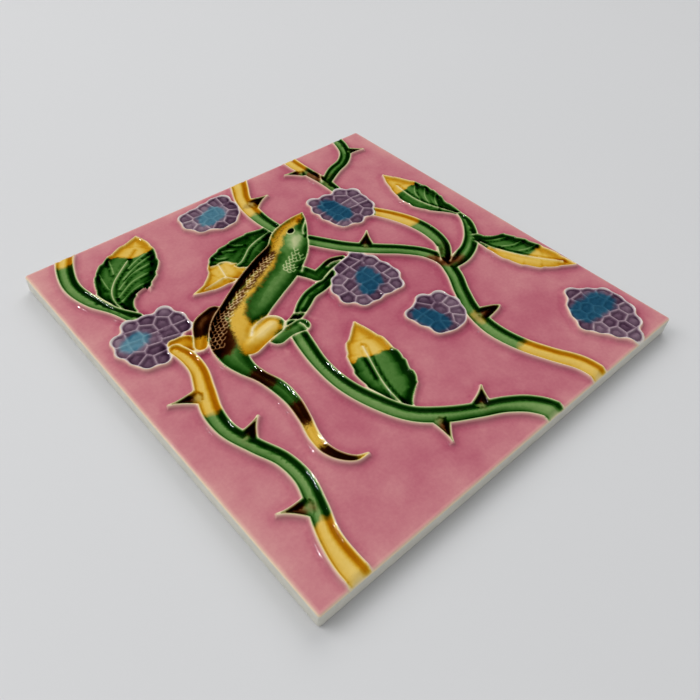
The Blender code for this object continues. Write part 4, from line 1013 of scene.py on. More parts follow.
def creases(runs):
    """Fine hollows that the glaze darkens."""
    return [RaisedLine(run, VEIN_HALF_WIDTH, rise=CREASE_RISE, left=FILM_CREASE, right=FILM_CREASE)
            for run in runs]


def leaf(stations, marks, rib, veins=(), folds=(), hollows=()):
    """A leaf with its midrib and veins."""
    # The thick glaze on the right of the midrib and veins is partly painted shade
    ridges = (raised((rib,), RIB_HALF_WIDTH, RIB_TOP, right=FILM_RIB_PAINTED_SHADE)
              + raised(veins, VEIN_HALF_WIDTH, VEIN_TOP, FILM_VEIN, FILM_VEIN_PAINTED_SHADE)
              + raised(folds, RIB_HALF_WIDTH, RIB_TOP) + creases(hollows))
    thinned = tuple(("film", TIP_FILM, stroke) for kind, _, stroke in marks if kind == "amber")
    return Form("leaf", [Band(stations, TOOTH_HEIGHT)], (LEAF_POOL, LEAF_CROWN, LEAF_CROWN_WIDTH),
                FILM_LEAF, ridges=ridges, marks=marks + thinned)


def stem(*bands, marks=(), thorns=(), parted=()):
    """Stems that branch from each other, with their thorns."""
    blades = [thorn_band(thorn) for thorn in thorns]
    for blade in blades:
        marks = (*marks, ("brown", 1.0, blade[1:]),
                 ("brown", THORN_FOOT_MARK, blade[:2], THORN_FOOT_GAIN))
    return Form("stem", [Band(band) for band in (*bands, *blades)],
                (STEM_POOL, STEM_CROWN, STEM_CROWN_WIDTH), FILM_STEM,
                ridges=raised(parted, PARTING_HALF_WIDTH, RIB_TOP), marks=marks)


def limb(stations, marks, parted=()):
    """A leg of the lizard that lies behind or before its body."""
    return Form("lizard", [Band(stations)], (LIZARD_POOL, STEM_CROWN, STEM_CROWN_WIDTH),
                FILM_LIZARD, ridges=raised(parted, PARTING_HALF_WIDTH, RIB_TOP), marks=marks)


def scales(body):
    """Short curved ridges of single scales, in rows that overlap towards the tail."""
    rng = np.random.default_rng(SCALE_SEED)
    turn = np.linspace(0.0, math.pi, SCALE_POINTS)
    runs = []
    for start, end, low, high, share in SCALE_NETS:
        for number, along in enumerate(np.arange(start, end, SCALE_ROW_SHARE * SCALE_PITCH)):
            for off in np.arange(low + SCALE_PITCH / 2 * (number % 2), high, SCALE_PITCH):
                stray = rng.uniform(-SCALE_STRAY, SCALE_STRAY, 2)
                if rng.uniform() < share:
                    places = along + stray[0] + SCALE_BULGE_SHARE * SCALE_PITCH * np.sin(turn)
                    beside = off + stray[1] - SCALE_PITCH / 2 * np.cos(turn)
                    runs.append(body.place(places) + beside[:, None] * body.across(places))
    return [RaisedLine(run, SCALE_HALF_WIDTH, rise=SCALE_RISE, left=FILM_SCALE, right=FILM_SCALE)
            for run in runs]


def lizard():
    """The lizard's near side."""
    bands = [Band(part) for part in (LIZARD_BODY, LIZARD_THIGH, LIZARD_UPPER_ARM, LIZARD_FOREARM)]
    ridges = (raised(PARTINGS_LIZARD, PARTING_HALF_WIDTH, RIB_TOP) + creases((MOUTH,)) + scales(bands[0])
              # The jaw's line pools the glaze beneath it, partly as painted shade
              + [RaisedLine(JAW, PARTING_HALF_WIDTH, rise=JAW_RISE, right=FILM_RIB_PAINTED_SHADE)])
    return Lizard("lizard", bands, (LIZARD_POOL, LIZARD_CROWN, LIZARD_CROWN_WIDTH), FILM_LIZARD,
                  fill=LIZARD_FILL, ridges=ridges,
                  marks=(*MARKS_LIZARD, *(along_body(mark) for mark in STROKES_LIZARD)))


def relief_forms():
    """The forms of the picture, each laid over the ones before it."""
    return (
        leaf(LEAF_UPPER_LEFT, MARKS_LEAF_UPPER_LEFT, RIB_UPPER_LEFT, VEINS_UPPER_LEFT,
             hollows=CREASES_UPPER_LEFT),
        stem(STEM_UPPER_LEFT, marks=MARKS_STEM_UPPER_LEFT),
        leaf(LEAF_MIDDLE, MARKS_LEAF_MIDDLE, RIB_MIDDLE, VEINS_MIDDLE, FOLDS_MIDDLE),
        Berry(BERRY_TOP, MARKS_BERRY_TOP),
        stem(STEM_UPPER_MIDDLE, marks=MARKS_STEM_UPPER_MIDDLE, thorns=(THORN_UPPER_MIDDLE,)),
        stem(STEM_UNDERFOOT, marks=MARKS_UNDERFOOT, parted=PARTINGS_UNDERFOOT),
        Berry(BERRY_MIDDLE, MARKS_BERRY_MIDDLE),
        leaf(LEAF_RIGHT, MARKS_LEAF_RIGHT, RIB_RIGHT, VEINS_RIGHT),
        stem(STEM_MAIN, STEM_TO_BERRY, STEM_TO_LEAF, marks=MARKS_STEM_MAIN,
             thorns=(THORN_MAIN_UPPER, THORN_MAIN_HOOK), parted=PARTINGS_STEM),
        stem(STEM_UPPER_RIGHT, STEM_TOP_RIGHT, marks=MARKS_STEM_UPPER_RIGHT,
             thorns=(THORN_UPPER_RIGHT, THORN_TOP_RIGHT), parted=PARTINGS_TOP),
        Berry(BERRY_SMALL, MARKS_BERRY_SMALL),
        Berry(BERRY_RIGHT, MARKS_BERRY_RIGHT),
        Berry(BERRY_LOWER_RIGHT, MARKS_BERRY_LOWER_RIGHT),
        leaf(LEAF_LOWER_RIGHT, MARKS_LEAF_LOWER_RIGHT, RIB_LOWER_RIGHT, VEINS_LOWER_RIGHT),
        leaf(LEAF_LOWER, MARKS_LEAF_LOWER, RIB_LOWER, hollows=CREASES_LOWER),
        stem(STEM_LOWER, thorns=(THORN_LOWER_LEFT, THORN_LOWER_RIGHT)),
        Berry(BERRY_LEFT, MARKS_BERRY_LEFT),
        limb(LIZARD_FAR_SHIN, MARKS_FAR_SHIN, PARTINGS_FAR_SHIN),
        stem(STEM_LEFT, marks=MARKS_STEM_LEFT,
             thorns=(THORN_LEFT_UPPER, THORN_LEFT_MIDDLE, THORN_LEFT_LOWER)),
        limb(LIZARD_FAR_THIGH, MARKS_FAR_THIGH),
        limb(LIZARD_SHIN, MARKS_SHIN, PARTINGS_SHIN),
        lizard(),
    )


class Face:
    """The moulded and glazed face, read at points of the drawing."""

    # A ring well inside the outline keeps this share of the outline's corner radius
    SMALLEST_CORNER_SHARE = 0.1

    def __init__(self, sizes):
        self.forms = relief_forms()
        self.ridge = sizes.ridge_height / UNIT
        self.wall = sizes.wall_width / UNIT
        self.pool_width = sizes.pool_width / UNIT
        self.thickness = sizes.thickness / UNIT
        self.corner = sizes.corner_radius / UNIT
        self.arris = sizes.arris_radius / UNIT
        self.unevenness = sizes.unevenness / UNIT

    def across_edge(self, depth, pool, crown, crown_width):
        """Heights across a form's edge: wall, raised outline, pool inside it and crown."""
        wall = 0.5 + 0.5 * np.cos(math.pi * np.clip(-depth / self.wall, 0.0, 1.0))
        fall = 0.5 - 0.5 * np.cos(math.pi * np.clip(depth / self.pool_width, 0.0, 1.0))
        rise = np.sin(math.pi / 2 * np.clip((depth - self.pool_width) / crown_width, 0.0, 1.0))
        return self.ridge * wall + (pool - self.ridge) * fall + (crown - pool) * rise

    def inset(self, points):
        """How far points lie inside the tile's outline."""
        past = np.abs(points) - (HALF_SIDE - self.corner)
        outside = np.hypot(*np.maximum(past, 0.0).T)
        return self.corner - outside - np.minimum(past.max(1), 0.0)

    def ring(self, inset, step):
        """The tile's outline a distance in from its edge."""
        half = HALF_SIDE - inset
        radius = max(self.corner - inset, self.SMALLEST_CORNER_SHARE * self.corner)
        turn = np.radians(np.linspace(0.0, 90.0, CORNER_POINTS))
        arc = half - radius + radius * np.column_stack((np.cos(turn), np.sin(turn)))
        count = int(DRAWING_SIDE / step)
        side = np.linspace(arc[-1], (-arc[-1][0], arc[-1][1]), count + 1)[1:-1]
        points = []
        for quarter in range(4):
            angle = quarter * math.pi / 2
            spin = np.array(((math.cos(angle), math.sin(angle)), (-math.sin(angle), math.cos(angle))))
            points.append(np.vstack((arc, side)) @ spin)
        return np.vstack(points)

    def read(self, points):
        """Height over the back, glaze thickness, top form and the form whose brush marks count."""
        inset = self.inset(points)
        height = self.unevenness * soft_waves(points, GROUND_WAVES)
        film = 1.0 + soft_waves(points, FILM_WAVES)
        # Painted sheen: the ground glaze thins and pales towards the top left
        film *= 1.0 + GROUND_PAINTED_SHEEN * (points[:, 0] - points[:, 1]) / DRAWING_SIDE
        film *= 1.0 + GROUND_DISH * (GROUND_DISH_LEVEL - (points**2).sum(1) / HALF_SIDE**2)
        for streak in STREAKS:
            film *= 1.0 - STREAK_LOSS * read_curve(STREAK_EDGE, cover(points, streak, STREAK_SEED))
        form_number = np.full(len(points), -1)
        brush_number = np.full(len(points), -1)
        reach = -FILM_OUTSIDE[0][0]
        for number, form in enumerate(self.forms):
            near = within(points, form.low - reach, form.high + reach)
            depth = form.depth(points[near])
            brush_number[near[depth > -BRUSH_SPILL]] = number
            wall, inside = (depth > -reach) & (depth <= 0), depth > 0
            outer, inner = near[wall], near[inside]
            film[outer] *= read_curve(FILM_OUTSIDE, depth[wall])
            rise = self.across_edge(depth[wall], 0.0, 0.0, 1.0)
            height[outer] = np.where(depth[wall] > -self.wall, np.maximum(rise, height[outer]),
                                     height[outer])
            height[inner], film[inner] = form.surface(points[inner], depth[inside], self)
            film[inner] *= 1.0 + form.marked(points[inner], "film")
            form_number[inner] = number
        film *= read_curve(FILM_RIM, inset)
        share = np.clip(inset / RELIEF_RIM, 0.0, 1.0)
        height *= share**2 * (3 - 2 * share)
        drop = np.clip(inset, 0.0, self.arris)
        drop = self.arris - np.sqrt(self.arris**2 - (self.arris - drop)**2)
        height = np.minimum(height + self.thickness, TOP_LIMIT) - drop
        return height, film, form_number, brush_number


class Spots:
    """Points in plan, none nearer to an earlier one than its gap."""

    CELL = 0.5

    def __init__(self):
        self.points, self.cells = [], {}

    def add(self, line, gap):
        """Takes the points of a line that are clear of the ones taken before."""
        reach = math.ceil(gap / self.CELL)
        span = range(-reach, reach + 1)
        for x, y in line:
            column, row = int(x // self.CELL), int(y // self.CELL)
            near = (spot for across, up in itertools.product(span, span)
                    for spot in self.cells.get((column + across, row + up), ()))
            if all((x - other_x)**2 + (y - other_y)**2 >= gap * gap for other_x, other_y in near):
                self.cells.setdefault((column, row), []).append((x, y))
                self.points.append((x, y))


def honeycomb(step, low, high):
    """Points on a grid of equal triangles inside a box."""
    rows = []
    for number, y in enumerate(np.arange(low[1], high[1], step * math.sqrt(3) / 2)):
        across = np.arange(low[0] + step / 2 * (number % 2), high[0], step)
        rows.append(np.column_stack((across, np.full(len(across), y))))
    return np.vstack(rows)


def face_points(face):
    """Points of the face in plan, set along the edges of the relief, and the outline's count."""
    spots = Spots()
    outline = face.ring(0.0, RING_STEP)
    spots.add(outline, RING_GAP)
    for inset in (*(share * face.arris for share in ARRIS_RINGS),
                  *(share * RELIEF_RIM for share in RIM_RINGS)):
        spots.add(face.ring(inset, RING_STEP), RING_GAP)
    forms = face.forms

    def lay(number, line, gap):
        """Lays the stretch of a form's line that no later form covers."""
        if len(line):
            shown = face.inset(line) > face.arris * ARRIS_GAP_SHARE
            for above in forms[number + 1:]:
                near = within(line, above.low - COVER_MARGIN, above.high + COVER_MARGIN)
                if len(near):
                    shown[near] &= above.depth(line[near]) < -COVERED_GAP
            spots.add(line[shown], gap)

    def lay_all(lines_of):
        """Lays the lines that each form gives, from the top form down."""
        for number in reversed(range(len(forms))):
            for line in lines_of(forms[number]):
                lay(number, line, LINE_GAP)

    lay_all(lambda form: form.edge_lines(0.0, CREST_STEP))
    lay_all(lambda form: form.inner_lines())
    for offset in EDGE_OFFSETS:
        lay_all(lambda form: form.edge_lines(offset, LINE_STEP))
    for number, form in reversed(list(enumerate(forms))):
        grid = honeycomb(form.fill, form.low, form.high)
        lay(number, grid[form.depth(grid) > FORM_FILL_DEPTH], form.fill * FILL_GAP)
    for step, reach in GROUND_FILLS:
        grid = honeycomb(step, np.full(2, -HALF_SIDE), np.full(2, HALF_SIDE))
        depth = np.full(len(grid), -DRAWING_SIDE)
        for form in forms:
            near = within(grid, form.low - SEARCH_MARGIN, form.high + SEARCH_MARGIN)
            depth[near] = np.maximum(depth[near], form.depth(grid[near]))
        keep = (depth < -GROUND_FILL_START) & (depth > -reach)
        keep &= face.inset(grid) > face.arris + step * ARRIS_FILL_SHARE
        spots.add(grid[keep], step * FILL_GAP)
    return np.array(spots.points), len(outline)


def select_only(made):
    """Deselects all, and makes one object the active one."""
    bpy.ops.object.select_all(action="DESELECT")
    made.select_set(True)
    bpy.context.view_layer.objects.active = made


def press_face(face):
    """The moulded face as an open mesh."""
    points, count = face_points(face)
    edges = [(i, (i + 1) % count) for i in range(count)]
    plan, _, faces, *_ = delaunay_2d_cdt([Vector(p) for p in points], edges, [list(range(count))],
                                         0, SAME_PLACE)
    plan = np.clip(np.array([tuple(v) for v in plan]), -HALF_SIDE, HALF_SIDE)
    faces = np.array(faces)
    faces = faces[face.inset(plan[faces].mean(1)) > ON_OUTLINE]
    height = face.read(plan)[0]
    mesh = bpy.data.meshes.new("relief_tile")
    mesh.from_pydata(np.column_stack((plan, height)) * UNIT, [], faces.tolist())
    made = bpy.data.objects.new("relief_tile", mesh)
    bpy.context.scene.collection.objects.link(made)
    return made


def close_body(made):
    """Draws the sides down from the rim of the face, rounds the bottom edge and shuts the back."""
    select_only(made)
    bpy.ops.object.mode_set(mode="EDIT")
    bpy.ops.mesh.select_mode(type="VERT")
    bpy.ops.mesh.select_all(action="SELECT")
    bpy.ops.mesh.delete_loose()
    bpy.ops.mesh.select_mode(type="EDGE")
    bpy.ops.mesh.select_all(action="DESELECT")
    bpy.ops.mesh.select_non_manifold(extend=False, use_wire=False, use_boundary=True,
                                     use_multi_face=False, use_non_contiguous=False, use_verts=False)
    inset_before = 0.0
    for inset, height in SIDE_RINGS:
        narrow = (HALF_SIDE - inset) / (HALF_SIDE - inset_before)
        inset_before = inset
        bpy.ops.mesh.extrude_edges_move()
        bpy.ops.transform.resize(value=(narrow, narrow, 0.0), center_override=(0.0, 0.0, 0.0))
        bpy.ops.transform.translate(value=(0.0, 0.0, height * UNIT))
    bpy.ops.mesh.edge_face_add()
    bpy.ops.mesh.select_all(action="SELECT")
    bpy.ops.mesh.normals_make_consistent(inside=False)
    bpy.ops.object.mode_set(mode="OBJECT")


def cut_keying(made):
    """Cuts the shallow keying grooves into the back."""
    length = TILE_SIDE - 2 * KEY_RIM
    pitch = KEY_WIDTH + KEY_LAND
    cutters = []
    for number in range(int((length + KEY_LAND) / 2 / pitch)):
        for side in (1, -1):
            middle = side * (number + 0.5) * pitch
            bpy.ops.mesh.primitive_cube_add(
                size=1.0, location=(0.0, middle, 0.0), scale=(length, KEY_WIDTH, 2 * KEY_DEPTH))
            cutter = bpy.context.active_object
            bpy.ops.object.transform_apply(location=True, rotation=True, scale=True)
            bpy.ops.object.mode_set(mode="EDIT")
            bpy.ops.mesh.select_mode(type="EDGE")
            bpy.ops.mesh.select_all(action="DESELECT")
            bpy.ops.object.mode_set(mode="OBJECT")
            for edge in cutter.data.edges:
                ends = [cutter.data.vertices[i].co for i in edge.vertices]
                edge.select = abs(ends[0].z - ends[1].z) > KEY_DEPTH
            bpy.ops.object.mode_set(mode="EDIT")
            bpy.ops.mesh.bevel(offset=KEY_ROUND, segments=KEY_ROUND_STEPS)
            bpy.ops.object.mode_set(mode="OBJECT")
            for vert in cutter.data.vertices:
                slope = KEY_SLOPE if vert.co.z > 0 else -KEY_SLOPE
                vert.co.x *= 1.0 - 2 * slope / length
                vert.co.y = middle + (vert.co.y - middle) * (1.0 - 2 * slope / KEY_WIDTH)
            cutters.append(cutter)
    select_only(cutters[0])
    for cutter in cutters:
        cutter.select_set(True)
    bpy.ops.object.join()
    cutter = bpy.context.active_object
    select_only(made)
    cut = made.modifiers.new("keying", "BOOLEAN")
    cut.operation = "DIFFERENCE"
    cut.solver = "EXACT"
    cut.object = cutter
    bpy.ops.object.modifier_apply(modifier=cut.name)
    bpy.data.objects.remove(cutter, do_unlink=True)


def places_of(elements, name):
    """The places of a mesh's points or faces, in the drawing's millimetres."""
    places = np.zeros(len(elements) * 3)
    elements.foreach_get(name, places)
    return places.reshape(-1, 3) / UNIT


def glaze_face(made, face):
    """Writes the glaze's thickness and brush marks on the points, and gives each face its material."""
    mesh = made.data
    place = places_of(mesh.vertices, "co")
    film, _, brush = face.read(place[:, :2])[1:]
    on_face = place[:, 2] > face.thickness - face.arris - GLAZE_END
    values = {name: np.zeros(len(place)) for name in ("film", *BRUSHED)}
    values["film"][on_face] = film[on_face]
    for number, form in enumerate(face.forms):
        mine = np.flatnonzero((brush == number) & on_face)
        for name in BRUSHED:
            values[name][mine] = form.marked(place[mine, :2], name)
        if isinstance(form, Lizard):
            eye = mine[form.eye_distance(place[mine, :2]) < EYE_BROWN_REACH]
            values["brown"][eye] = 1.0
    for name, value in values.items():
        attribute = mesh.attributes.new(name, "FLOAT", "POINT")
        attribute.data.foreach_set("value", value.astype(np.float32))
    centre = places_of(mesh.polygons, "center")
    top = face.read(centre[:, :2])[2]
    # The last entry is for the number -1, the bare ground
    glaze_of = np.array([GLAZES.index(form.glaze) for form in face.forms] + [0])
    side = face.inset(centre[:, :2]) < SIDE_INSET
    side |= centre[:, 2] < face.thickness - face.arris - SIDE_DROP
    index = np.where(side, len(GLAZES), glaze_of[top])
    mesh.polygons.foreach_set("material_index", index.astype(np.int32))


def new_group(name, inputs, outputs):
    """A shader node group with named sockets, given as name, socket kind and default."""
    group = bpy.data.node_groups.new(name, "ShaderNodeTree")
    for label, kind, default in inputs:
        made = group.interface.new_socket(name=label, in_out="INPUT", socket_type=kind)
        if default is not None:
            made.default_value = default
    for label, kind in outputs:
        group.interface.new_socket(name=label, in_out="OUTPUT", socket_type=kind)
    return group, group.nodes.new("NodeGroupInput"), group.nodes.new("NodeGroupOutput")


def feed(tree, socket, value):
    """Sets an input to a plain value, or links it to another node's output."""
    if isinstance(value, bpy.types.NodeSocket):
        tree.links.new(value, socket)
    else:
        socket.default_value = value


def math_node(tree, operation, *values):
    """A math node; gives its output."""
    node = tree.nodes.new("ShaderNodeMath")
    node.operation = operation
    for socket, value in zip(node.inputs, values):
        feed(tree, socket, value)
    return node.outputs[0]


def noise_node(tree, vector, scale, detail, rough):
    """A noise texture; gives its factor."""
    node = tree.nodes.new("ShaderNodeTexNoise")
    for name, value in (("Vector", vector), ("Scale", scale), ("Detail", detail), ("Roughness", rough)):
        feed(tree, node.inputs[name], value)
    return node.outputs["Fac"]


def bump_node(tree, height, distance, strength):
    """A bump in the surface; gives its normal."""
    node = tree.nodes.new("ShaderNodeBump")
    for name, value in (("Height", height), ("Distance", distance), ("Strength", strength)):
        feed(tree, node.inputs[name], value)
    return node.outputs["Normal"]


def mix_colour(tree, factor, first, second):
    """A colour mix; gives its output."""
    node = tree.nodes.new("ShaderNodeMix")
    node.data_type = "RGBA"
    for number, value in ((0, factor), (6, first), (7, second)):
        feed(tree, node.inputs[number], value)
    return node.outputs[2]


def layer_group():
    """Colour of the clay seen through a layer of glaze, which darkens as the layer thickens."""
    group, start, end = new_group(
        "Glaze Layer",
        (("Clay", "NodeSocketColor", None), ("One Layer", "NodeSocketColor", None),
         ("Thickness", "NodeSocketFloat", 1.0)),
        (("Color", "NodeSocketColor"),))
    clay = group.nodes.new("ShaderNodeSeparateColor")
    layer = group.nodes.new("ShaderNodeSeparateColor")
    joined = group.nodes.new("ShaderNodeCombineColor")
    group.links.new(start.outputs["Clay"], clay.inputs[0])
    group.links.new(start.outputs["One Layer"], layer.inputs[0])
    for channel in range(3):
        passed = math_node(group, "POWER", layer.outputs[channel], start.outputs["Thickness"])
        group.links.new(math_node(group, "MULTIPLY", passed, clay.outputs[channel]),
                        joined.inputs[channel])
    group.links.new(joined.outputs[0], end.inputs["Color"])
    return group


def mottle_group():
    """A factor about 1 that thins and thickens the glaze in soft clouds and fine specks."""
    group, start, end = new_group(
        "Glaze Mottle",
        (("Vector", "NodeSocketVector", None), ("Clouds", "NodeSocketFloat", 0.3),
         ("Specks", "NodeSocketFloat", 0.1)),
        (("Factor", "NodeSocketFloat"),))
    vector = start.outputs["Vector"]
    total = 1.0
    for label, noise in (("Clouds", CLOUDS), ("Specks", SPECKS)):
        spread = math_node(group, "SUBTRACT", noise_node(group, vector, *noise), 0.5)
        part = math_node(group, "MULTIPLY", spread, start.outputs[label])
        total = math_node(group, "ADD", total, part)
    group.links.new(total, end.inputs["Factor"])
    return group


def brush_group():
    """A brushed mark with a feathered, ragged edge."""
    group, start, end = new_group(
        "Brushed Edge",
        (("Vector", "NodeSocketVector", None), ("Mark", "NodeSocketFloat", 0.0),
         ("Scale", "NodeSocketFloat", BROAD_BRUSH), ("Ragged", "NodeSocketFloat", 0.5)),
        (("Mark", "NodeSocketFloat"),))
    noise = noise_node(group, start.outputs["Vector"], start.outputs["Scale"], BRUSH_DETAIL, 0.5)
    shift = math_node(group, "SUBTRACT", noise, 0.5)
    shift = math_node(group, "MULTIPLY", shift, start.outputs["Ragged"])
    total = math_node(group, "ADD", start.outputs["Mark"], shift)
    ramp = group.nodes.new("ShaderNodeMapRange")
    ramp.interpolation_type = "SMOOTHSTEP"
    ramp.inputs["From Min"].default_value = BRUSH_RAMP[0]
    ramp.inputs["From Max"].default_value = BRUSH_RAMP[1]
    group.links.new(total, ramp.inputs["Value"])
    group.links.new(ramp.outputs["Result"], end.inputs["Mark"])
    return group


def surface_group():
    """The glassy skin: slow waves and a fine orange peel in its normal, and uneven gloss."""
    group, start, end = new_group(
        "Glaze Skin",
        (("Vector", "NodeSocketVector", None), ("Waves", "NodeSocketFloat", 0.5),
         ("Gloss", "NodeSocketFloat", 0.08)),
        (("Roughness", "NodeSocketFloat"), ("Normal", "NodeSocketVector")))
    vector = start.outputs["Vector"]
    slow = noise_node(group, vector, *SKIN_WAVES)
    peel = noise_node(group, vector, *SKIN_PEEL)
    height = math_node(group, "ADD", slow, math_node(group, "MULTIPLY", peel, SKIN_PEEL_SHARE))
    uneven = math_node(group, "MULTIPLY", noise_node(group, vector, *GLOSS_CLOUDS), GLOSS_SPREAD)
    rough = math_node(group, "ADD", start.outputs["Gloss"], uneven)
    group.links.new(rough, end.inputs["Roughness"])
    group.links.new(bump_node(group, height, SKIN_HEIGHT, start.outputs["Waves"]), end.inputs["Normal"])
    return group


def new_material(name):
    """An empty material with a Principled shader and object coordinates."""
    made = bpy.data.materials.new(name)
    made.use_nodes = True
    tree = made.node_tree
    coordinates = tree.nodes.new("ShaderNodeTexCoord").outputs["Object"]
    return made, tree, tree.nodes["Principled BSDF"], coordinates


def place_group(tree, group, **values):
    """A node group in a material, with its inputs set or linked; gives its outputs."""
    node = tree.nodes.new("ShaderNodeGroup")
    node.node_tree = group
    for name, value in values.items():
        feed(tree, node.inputs[name.replace("_", " ")], value)
    return node.outputs


def attribute_of(tree, name):
    """The value of a painted attribute."""
    node = tree.nodes.new("ShaderNodeAttribute")
    node.attribute_name = name
    return node.outputs["Fac"]


def glazed(name, groups, clay, base, brushed=(), clouds=0.5, specks=0.25, waves=1.0, gloss=0.012):
    """A glaze over the clay, with others brushed into it, each by its mark, colour, scale and edge."""
    made, tree, shader, vector = new_material(name)
    colour = (*base, 1.0)
    for mark, layer, scale, ragged in brushed:
        shown = place_group(tree, groups["brush"], Vector=vector, Mark=attribute_of(tree, mark),
                            Scale=scale, Ragged=ragged)["Mark"]
        colour = mix_colour(tree, shown, colour, (*layer, 1.0))
    factor = place_group(tree, groups["mottle"], Vector=vector, Clouds=clouds, Specks=specks)["Factor"]
    thickness = math_node(tree, "MULTIPLY", attribute_of(tree, "film"), factor)
    seen = place_group(tree, groups["layer"], Clay=(*clay, 1.0), One_Layer=colour,
                       Thickness=thickness)["Color"]
    skin = place_group(tree, groups["skin"], Vector=vector, Waves=waves, Gloss=gloss)
    tree.links.new(seen, shader.inputs["Base Color"])
    tree.links.new(skin["Roughness"], shader.inputs["Roughness"])
    tree.links.new(skin["Normal"], shader.inputs["Normal"])
    shader.inputs["IOR"].default_value = GLAZE_IOR
    return made


def shades_of(colour, shares):
    """A colour made darker or lighter by shares, as colours with an alpha."""
    return [(*(min(1.0, share * channel) for channel in colour), 1.0) for share in shares]


def biscuit(colour):
    """Bare fired clay of the sides and back."""
    made, tree, shader, vector = new_material("bare_biscuit")
    stain = noise_node(tree, vector, *STAINS)
    seen = mix_colour(tree, stain, *shades_of(colour, STAIN_SHADES))
    grain = noise_node(tree, vector, *GRAIN)
    tree.links.new(seen, shader.inputs["Base Color"])
    tree.links.new(bump_node(tree, grain, GRAIN_HEIGHT, GRAIN_STRENGTH), shader.inputs["Normal"])
    shader.inputs["Roughness"].default_value = BISCUIT_ROUGHNESS
    return made


def tile_materials(glazes):
    """The glazes in the order of GLAZES, and the bare biscuit."""
    groups = {"layer": layer_group(), "mottle": mottle_group(), "brush": brush_group(),
              "skin": surface_group()}
    clay, green = tuple(glazes.clay), tuple(glazes.green)
    amber, brown = tuple(glazes.amber), tuple(glazes.brown)
    return (
        glazed("rose_ground", groups, clay, tuple(glazes.rose), clouds=0.7, waves=0.45),
        glazed("stem_glaze", groups, clay, green,
               (("amber", amber, BROAD_BRUSH, 0.5), ("brown", brown, BROAD_BRUSH, 0.5))),
        glazed("leaf_glaze", groups, clay, green, (("amber", amber, BROAD_BRUSH, 0.6),)),
        glazed("berry_glaze", groups, tuple(glazes.slip), tuple(glazes.purple),
               (("teal", tuple(glazes.teal), BROAD_BRUSH, 0.4),)),
        glazed("lizard_glaze", groups, clay, green,
               (("amber", amber, FINE_BRUSH, 0.8), ("brown", brown, FINE_BRUSH, 1.1))),
        biscuit(tuple(glazes.biscuit)),
    )


class TILE_OT_make_tile(bpy.types.Operator):
    """Press the relief tile, cut its back and glaze it"""
    bl_idname = "relief_tile.make_tile"
    bl_label = "Relief Tile"

    def execute(self, context):
        face = Face(context.scene.tile_sizes)
        made = press_face(face)
        close_body(made)
        cut_keying(made)
        for material in tile_materials(context.scene.tile_glazes):
            made.data.materials.append(material)
        glaze_face(made, face)
        select_only(made)
        bpy.ops.object.shade_smooth_by_angle(angle=SMOOTH_ANGLE)
        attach(made, "root")
        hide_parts("tile")
        return {"FINISHED"}


def lay_floor(colour):
    """The pale floor just under the tile."""
    bpy.ops.object.select_all(action="DESELECT")
    bpy.ops.mesh.primitive_plane_add(size=FLOOR_SIZE, location=(0.0, 0.0, -FLOOR_DROP))
    floor = bpy.context.active_object
    floor.name = "floor"
    made, tree, shader, vector = new_material("pale_floor")
    clouds = noise_node(tree, vector, *FLOOR_CLOUDS)
    tree.links.new(mix_colour(tree, clouds, *shades_of(colour, FLOOR_SHADES)), shader.inputs["Base Color"])
    shader.inputs["Roughness"].default_value = FLOOR_ROUGHNESS
    floor.data.materials.append(made)


def light_evenly(strength):
    """The even light from all round, which the glaze doesn't mirror."""
    world = bpy.data.worlds.new("studio")
    world.use_nodes = True
    back = world.node_tree.nodes["Background"]
    back.inputs["Color"].default_value = SKY_COLOUR
    back.inputs["Strength"].default_value = strength
    world.cycles_visibility.glossy = False
    bpy.context.scene.world = world


def add_light(name, place, size, power, mirrored):
    """A square light that faces the tile, and is only mirrored or only lights the colours."""
    bpy.ops.object.light_add(type="AREA", location=place)
    light = bpy.context.active_object
    light.name = name
    light.data.size = size
    light.data.energy = power
    light.visible_glossy = mirrored
    light.visible_diffuse = not mirrored
    light.rotation_mode = "QUATERNION"
    light.rotation_quaternion = (-Vector(place)).to_track_quat("-Z", "Y")


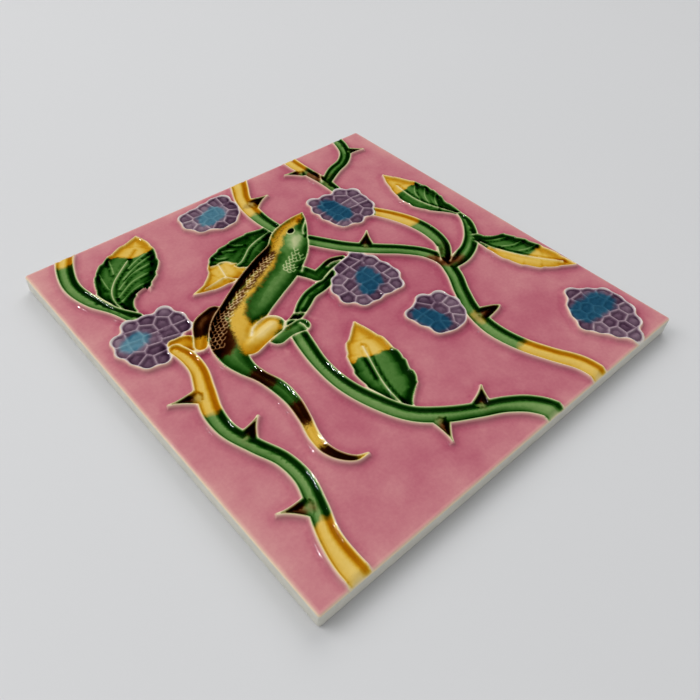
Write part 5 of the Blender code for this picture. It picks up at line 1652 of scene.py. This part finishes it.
def add_camera():
    """The camera at the photograph's viewing angle."""
    bpy.ops.object.camera_add(location=CAMERA_PLACE)
    camera = bpy.context.active_object
    aim = (Vector(CAMERA_AIM) - Vector(CAMERA_PLACE)).to_track_quat("-Z", "Y")
    camera.rotation_mode = "QUATERNION"
    camera.rotation_quaternion = aim @ Quaternion((0.0, 0.0, 1.0), math.radians(CAMERA_ROLL))
    camera.data.lens = CAMERA_LENS
    camera.data.sensor_width = CAMERA_SENSOR
    camera.data.shift_x, camera.data.shift_y = CAMERA_SHIFT
    camera.data.clip_start = CAMERA_NEAREST
    bpy.context.scene.camera = camera


class TILE_OT_make_stage(bpy.types.Operator):
    """Lay the floor, set the lights and aim the camera"""
    bl_idname = "relief_tile.make_stage"
    bl_label = "Stage"

    def execute(self, context):
        stage = context.scene.tile_stage
        lay_floor(stage.floor)
        light_evenly(stage.sky)
        add_light(*KEY_LIGHT, stage.key, mirrored=False)
        add_light(*FILL_LIGHT, stage.fill, mirrored=False)
        for light in GLINT_LIGHTS:
            add_light(*light, stage.glint, mirrored=True)
        add_camera()
        context.scene.view_settings.view_transform = "Standard"
        return {"FINISHED"}


class TILE_PT_panel(bpy.types.Panel):
    """Lists the tile's sizes, glazes and operators"""
    bl_label = "Relief Tile"
    bl_idname = "TILE_PT_panel"
    bl_space_type = "VIEW_3D"
    bl_region_type = "UI"
    bl_category = "Relief Tile"

    def draw(self, context):
        scene = context.scene
        for group in (scene.tile_sizes, scene.tile_glazes, scene.tile_stage):
            box = self.layout.box()
            for name in group.__annotations__:
                box.prop(group, name)
        self.layout.operator(TILE_OT_make_tile.bl_idname)
        self.layout.operator(TILE_OT_make_stage.bl_idname)


GROUPS = (("tile_sizes", TileSizes), ("tile_glazes", TileGlazes), ("tile_stage", TileStage))
CLASSES = (TileSizes, TileGlazes, TileStage, TILE_OT_make_tile, TILE_OT_make_stage, TILE_PT_panel)


def register():
    for cls in CLASSES:
        bpy.utils.register_class(cls)
    for name, group in GROUPS:
        setattr(bpy.types.Scene, name, bpy.props.PointerProperty(type=group))


def unregister():
    for name, _ in GROUPS:
        delattr(bpy.types.Scene, name)
    for cls in reversed(CLASSES):
        bpy.utils.unregister_class(cls)


def main():
    register()
    bpy.ops.relief_tile.make_tile()
    bpy.ops.relief_tile.make_stage()


if __name__ == "__main__":
    main()
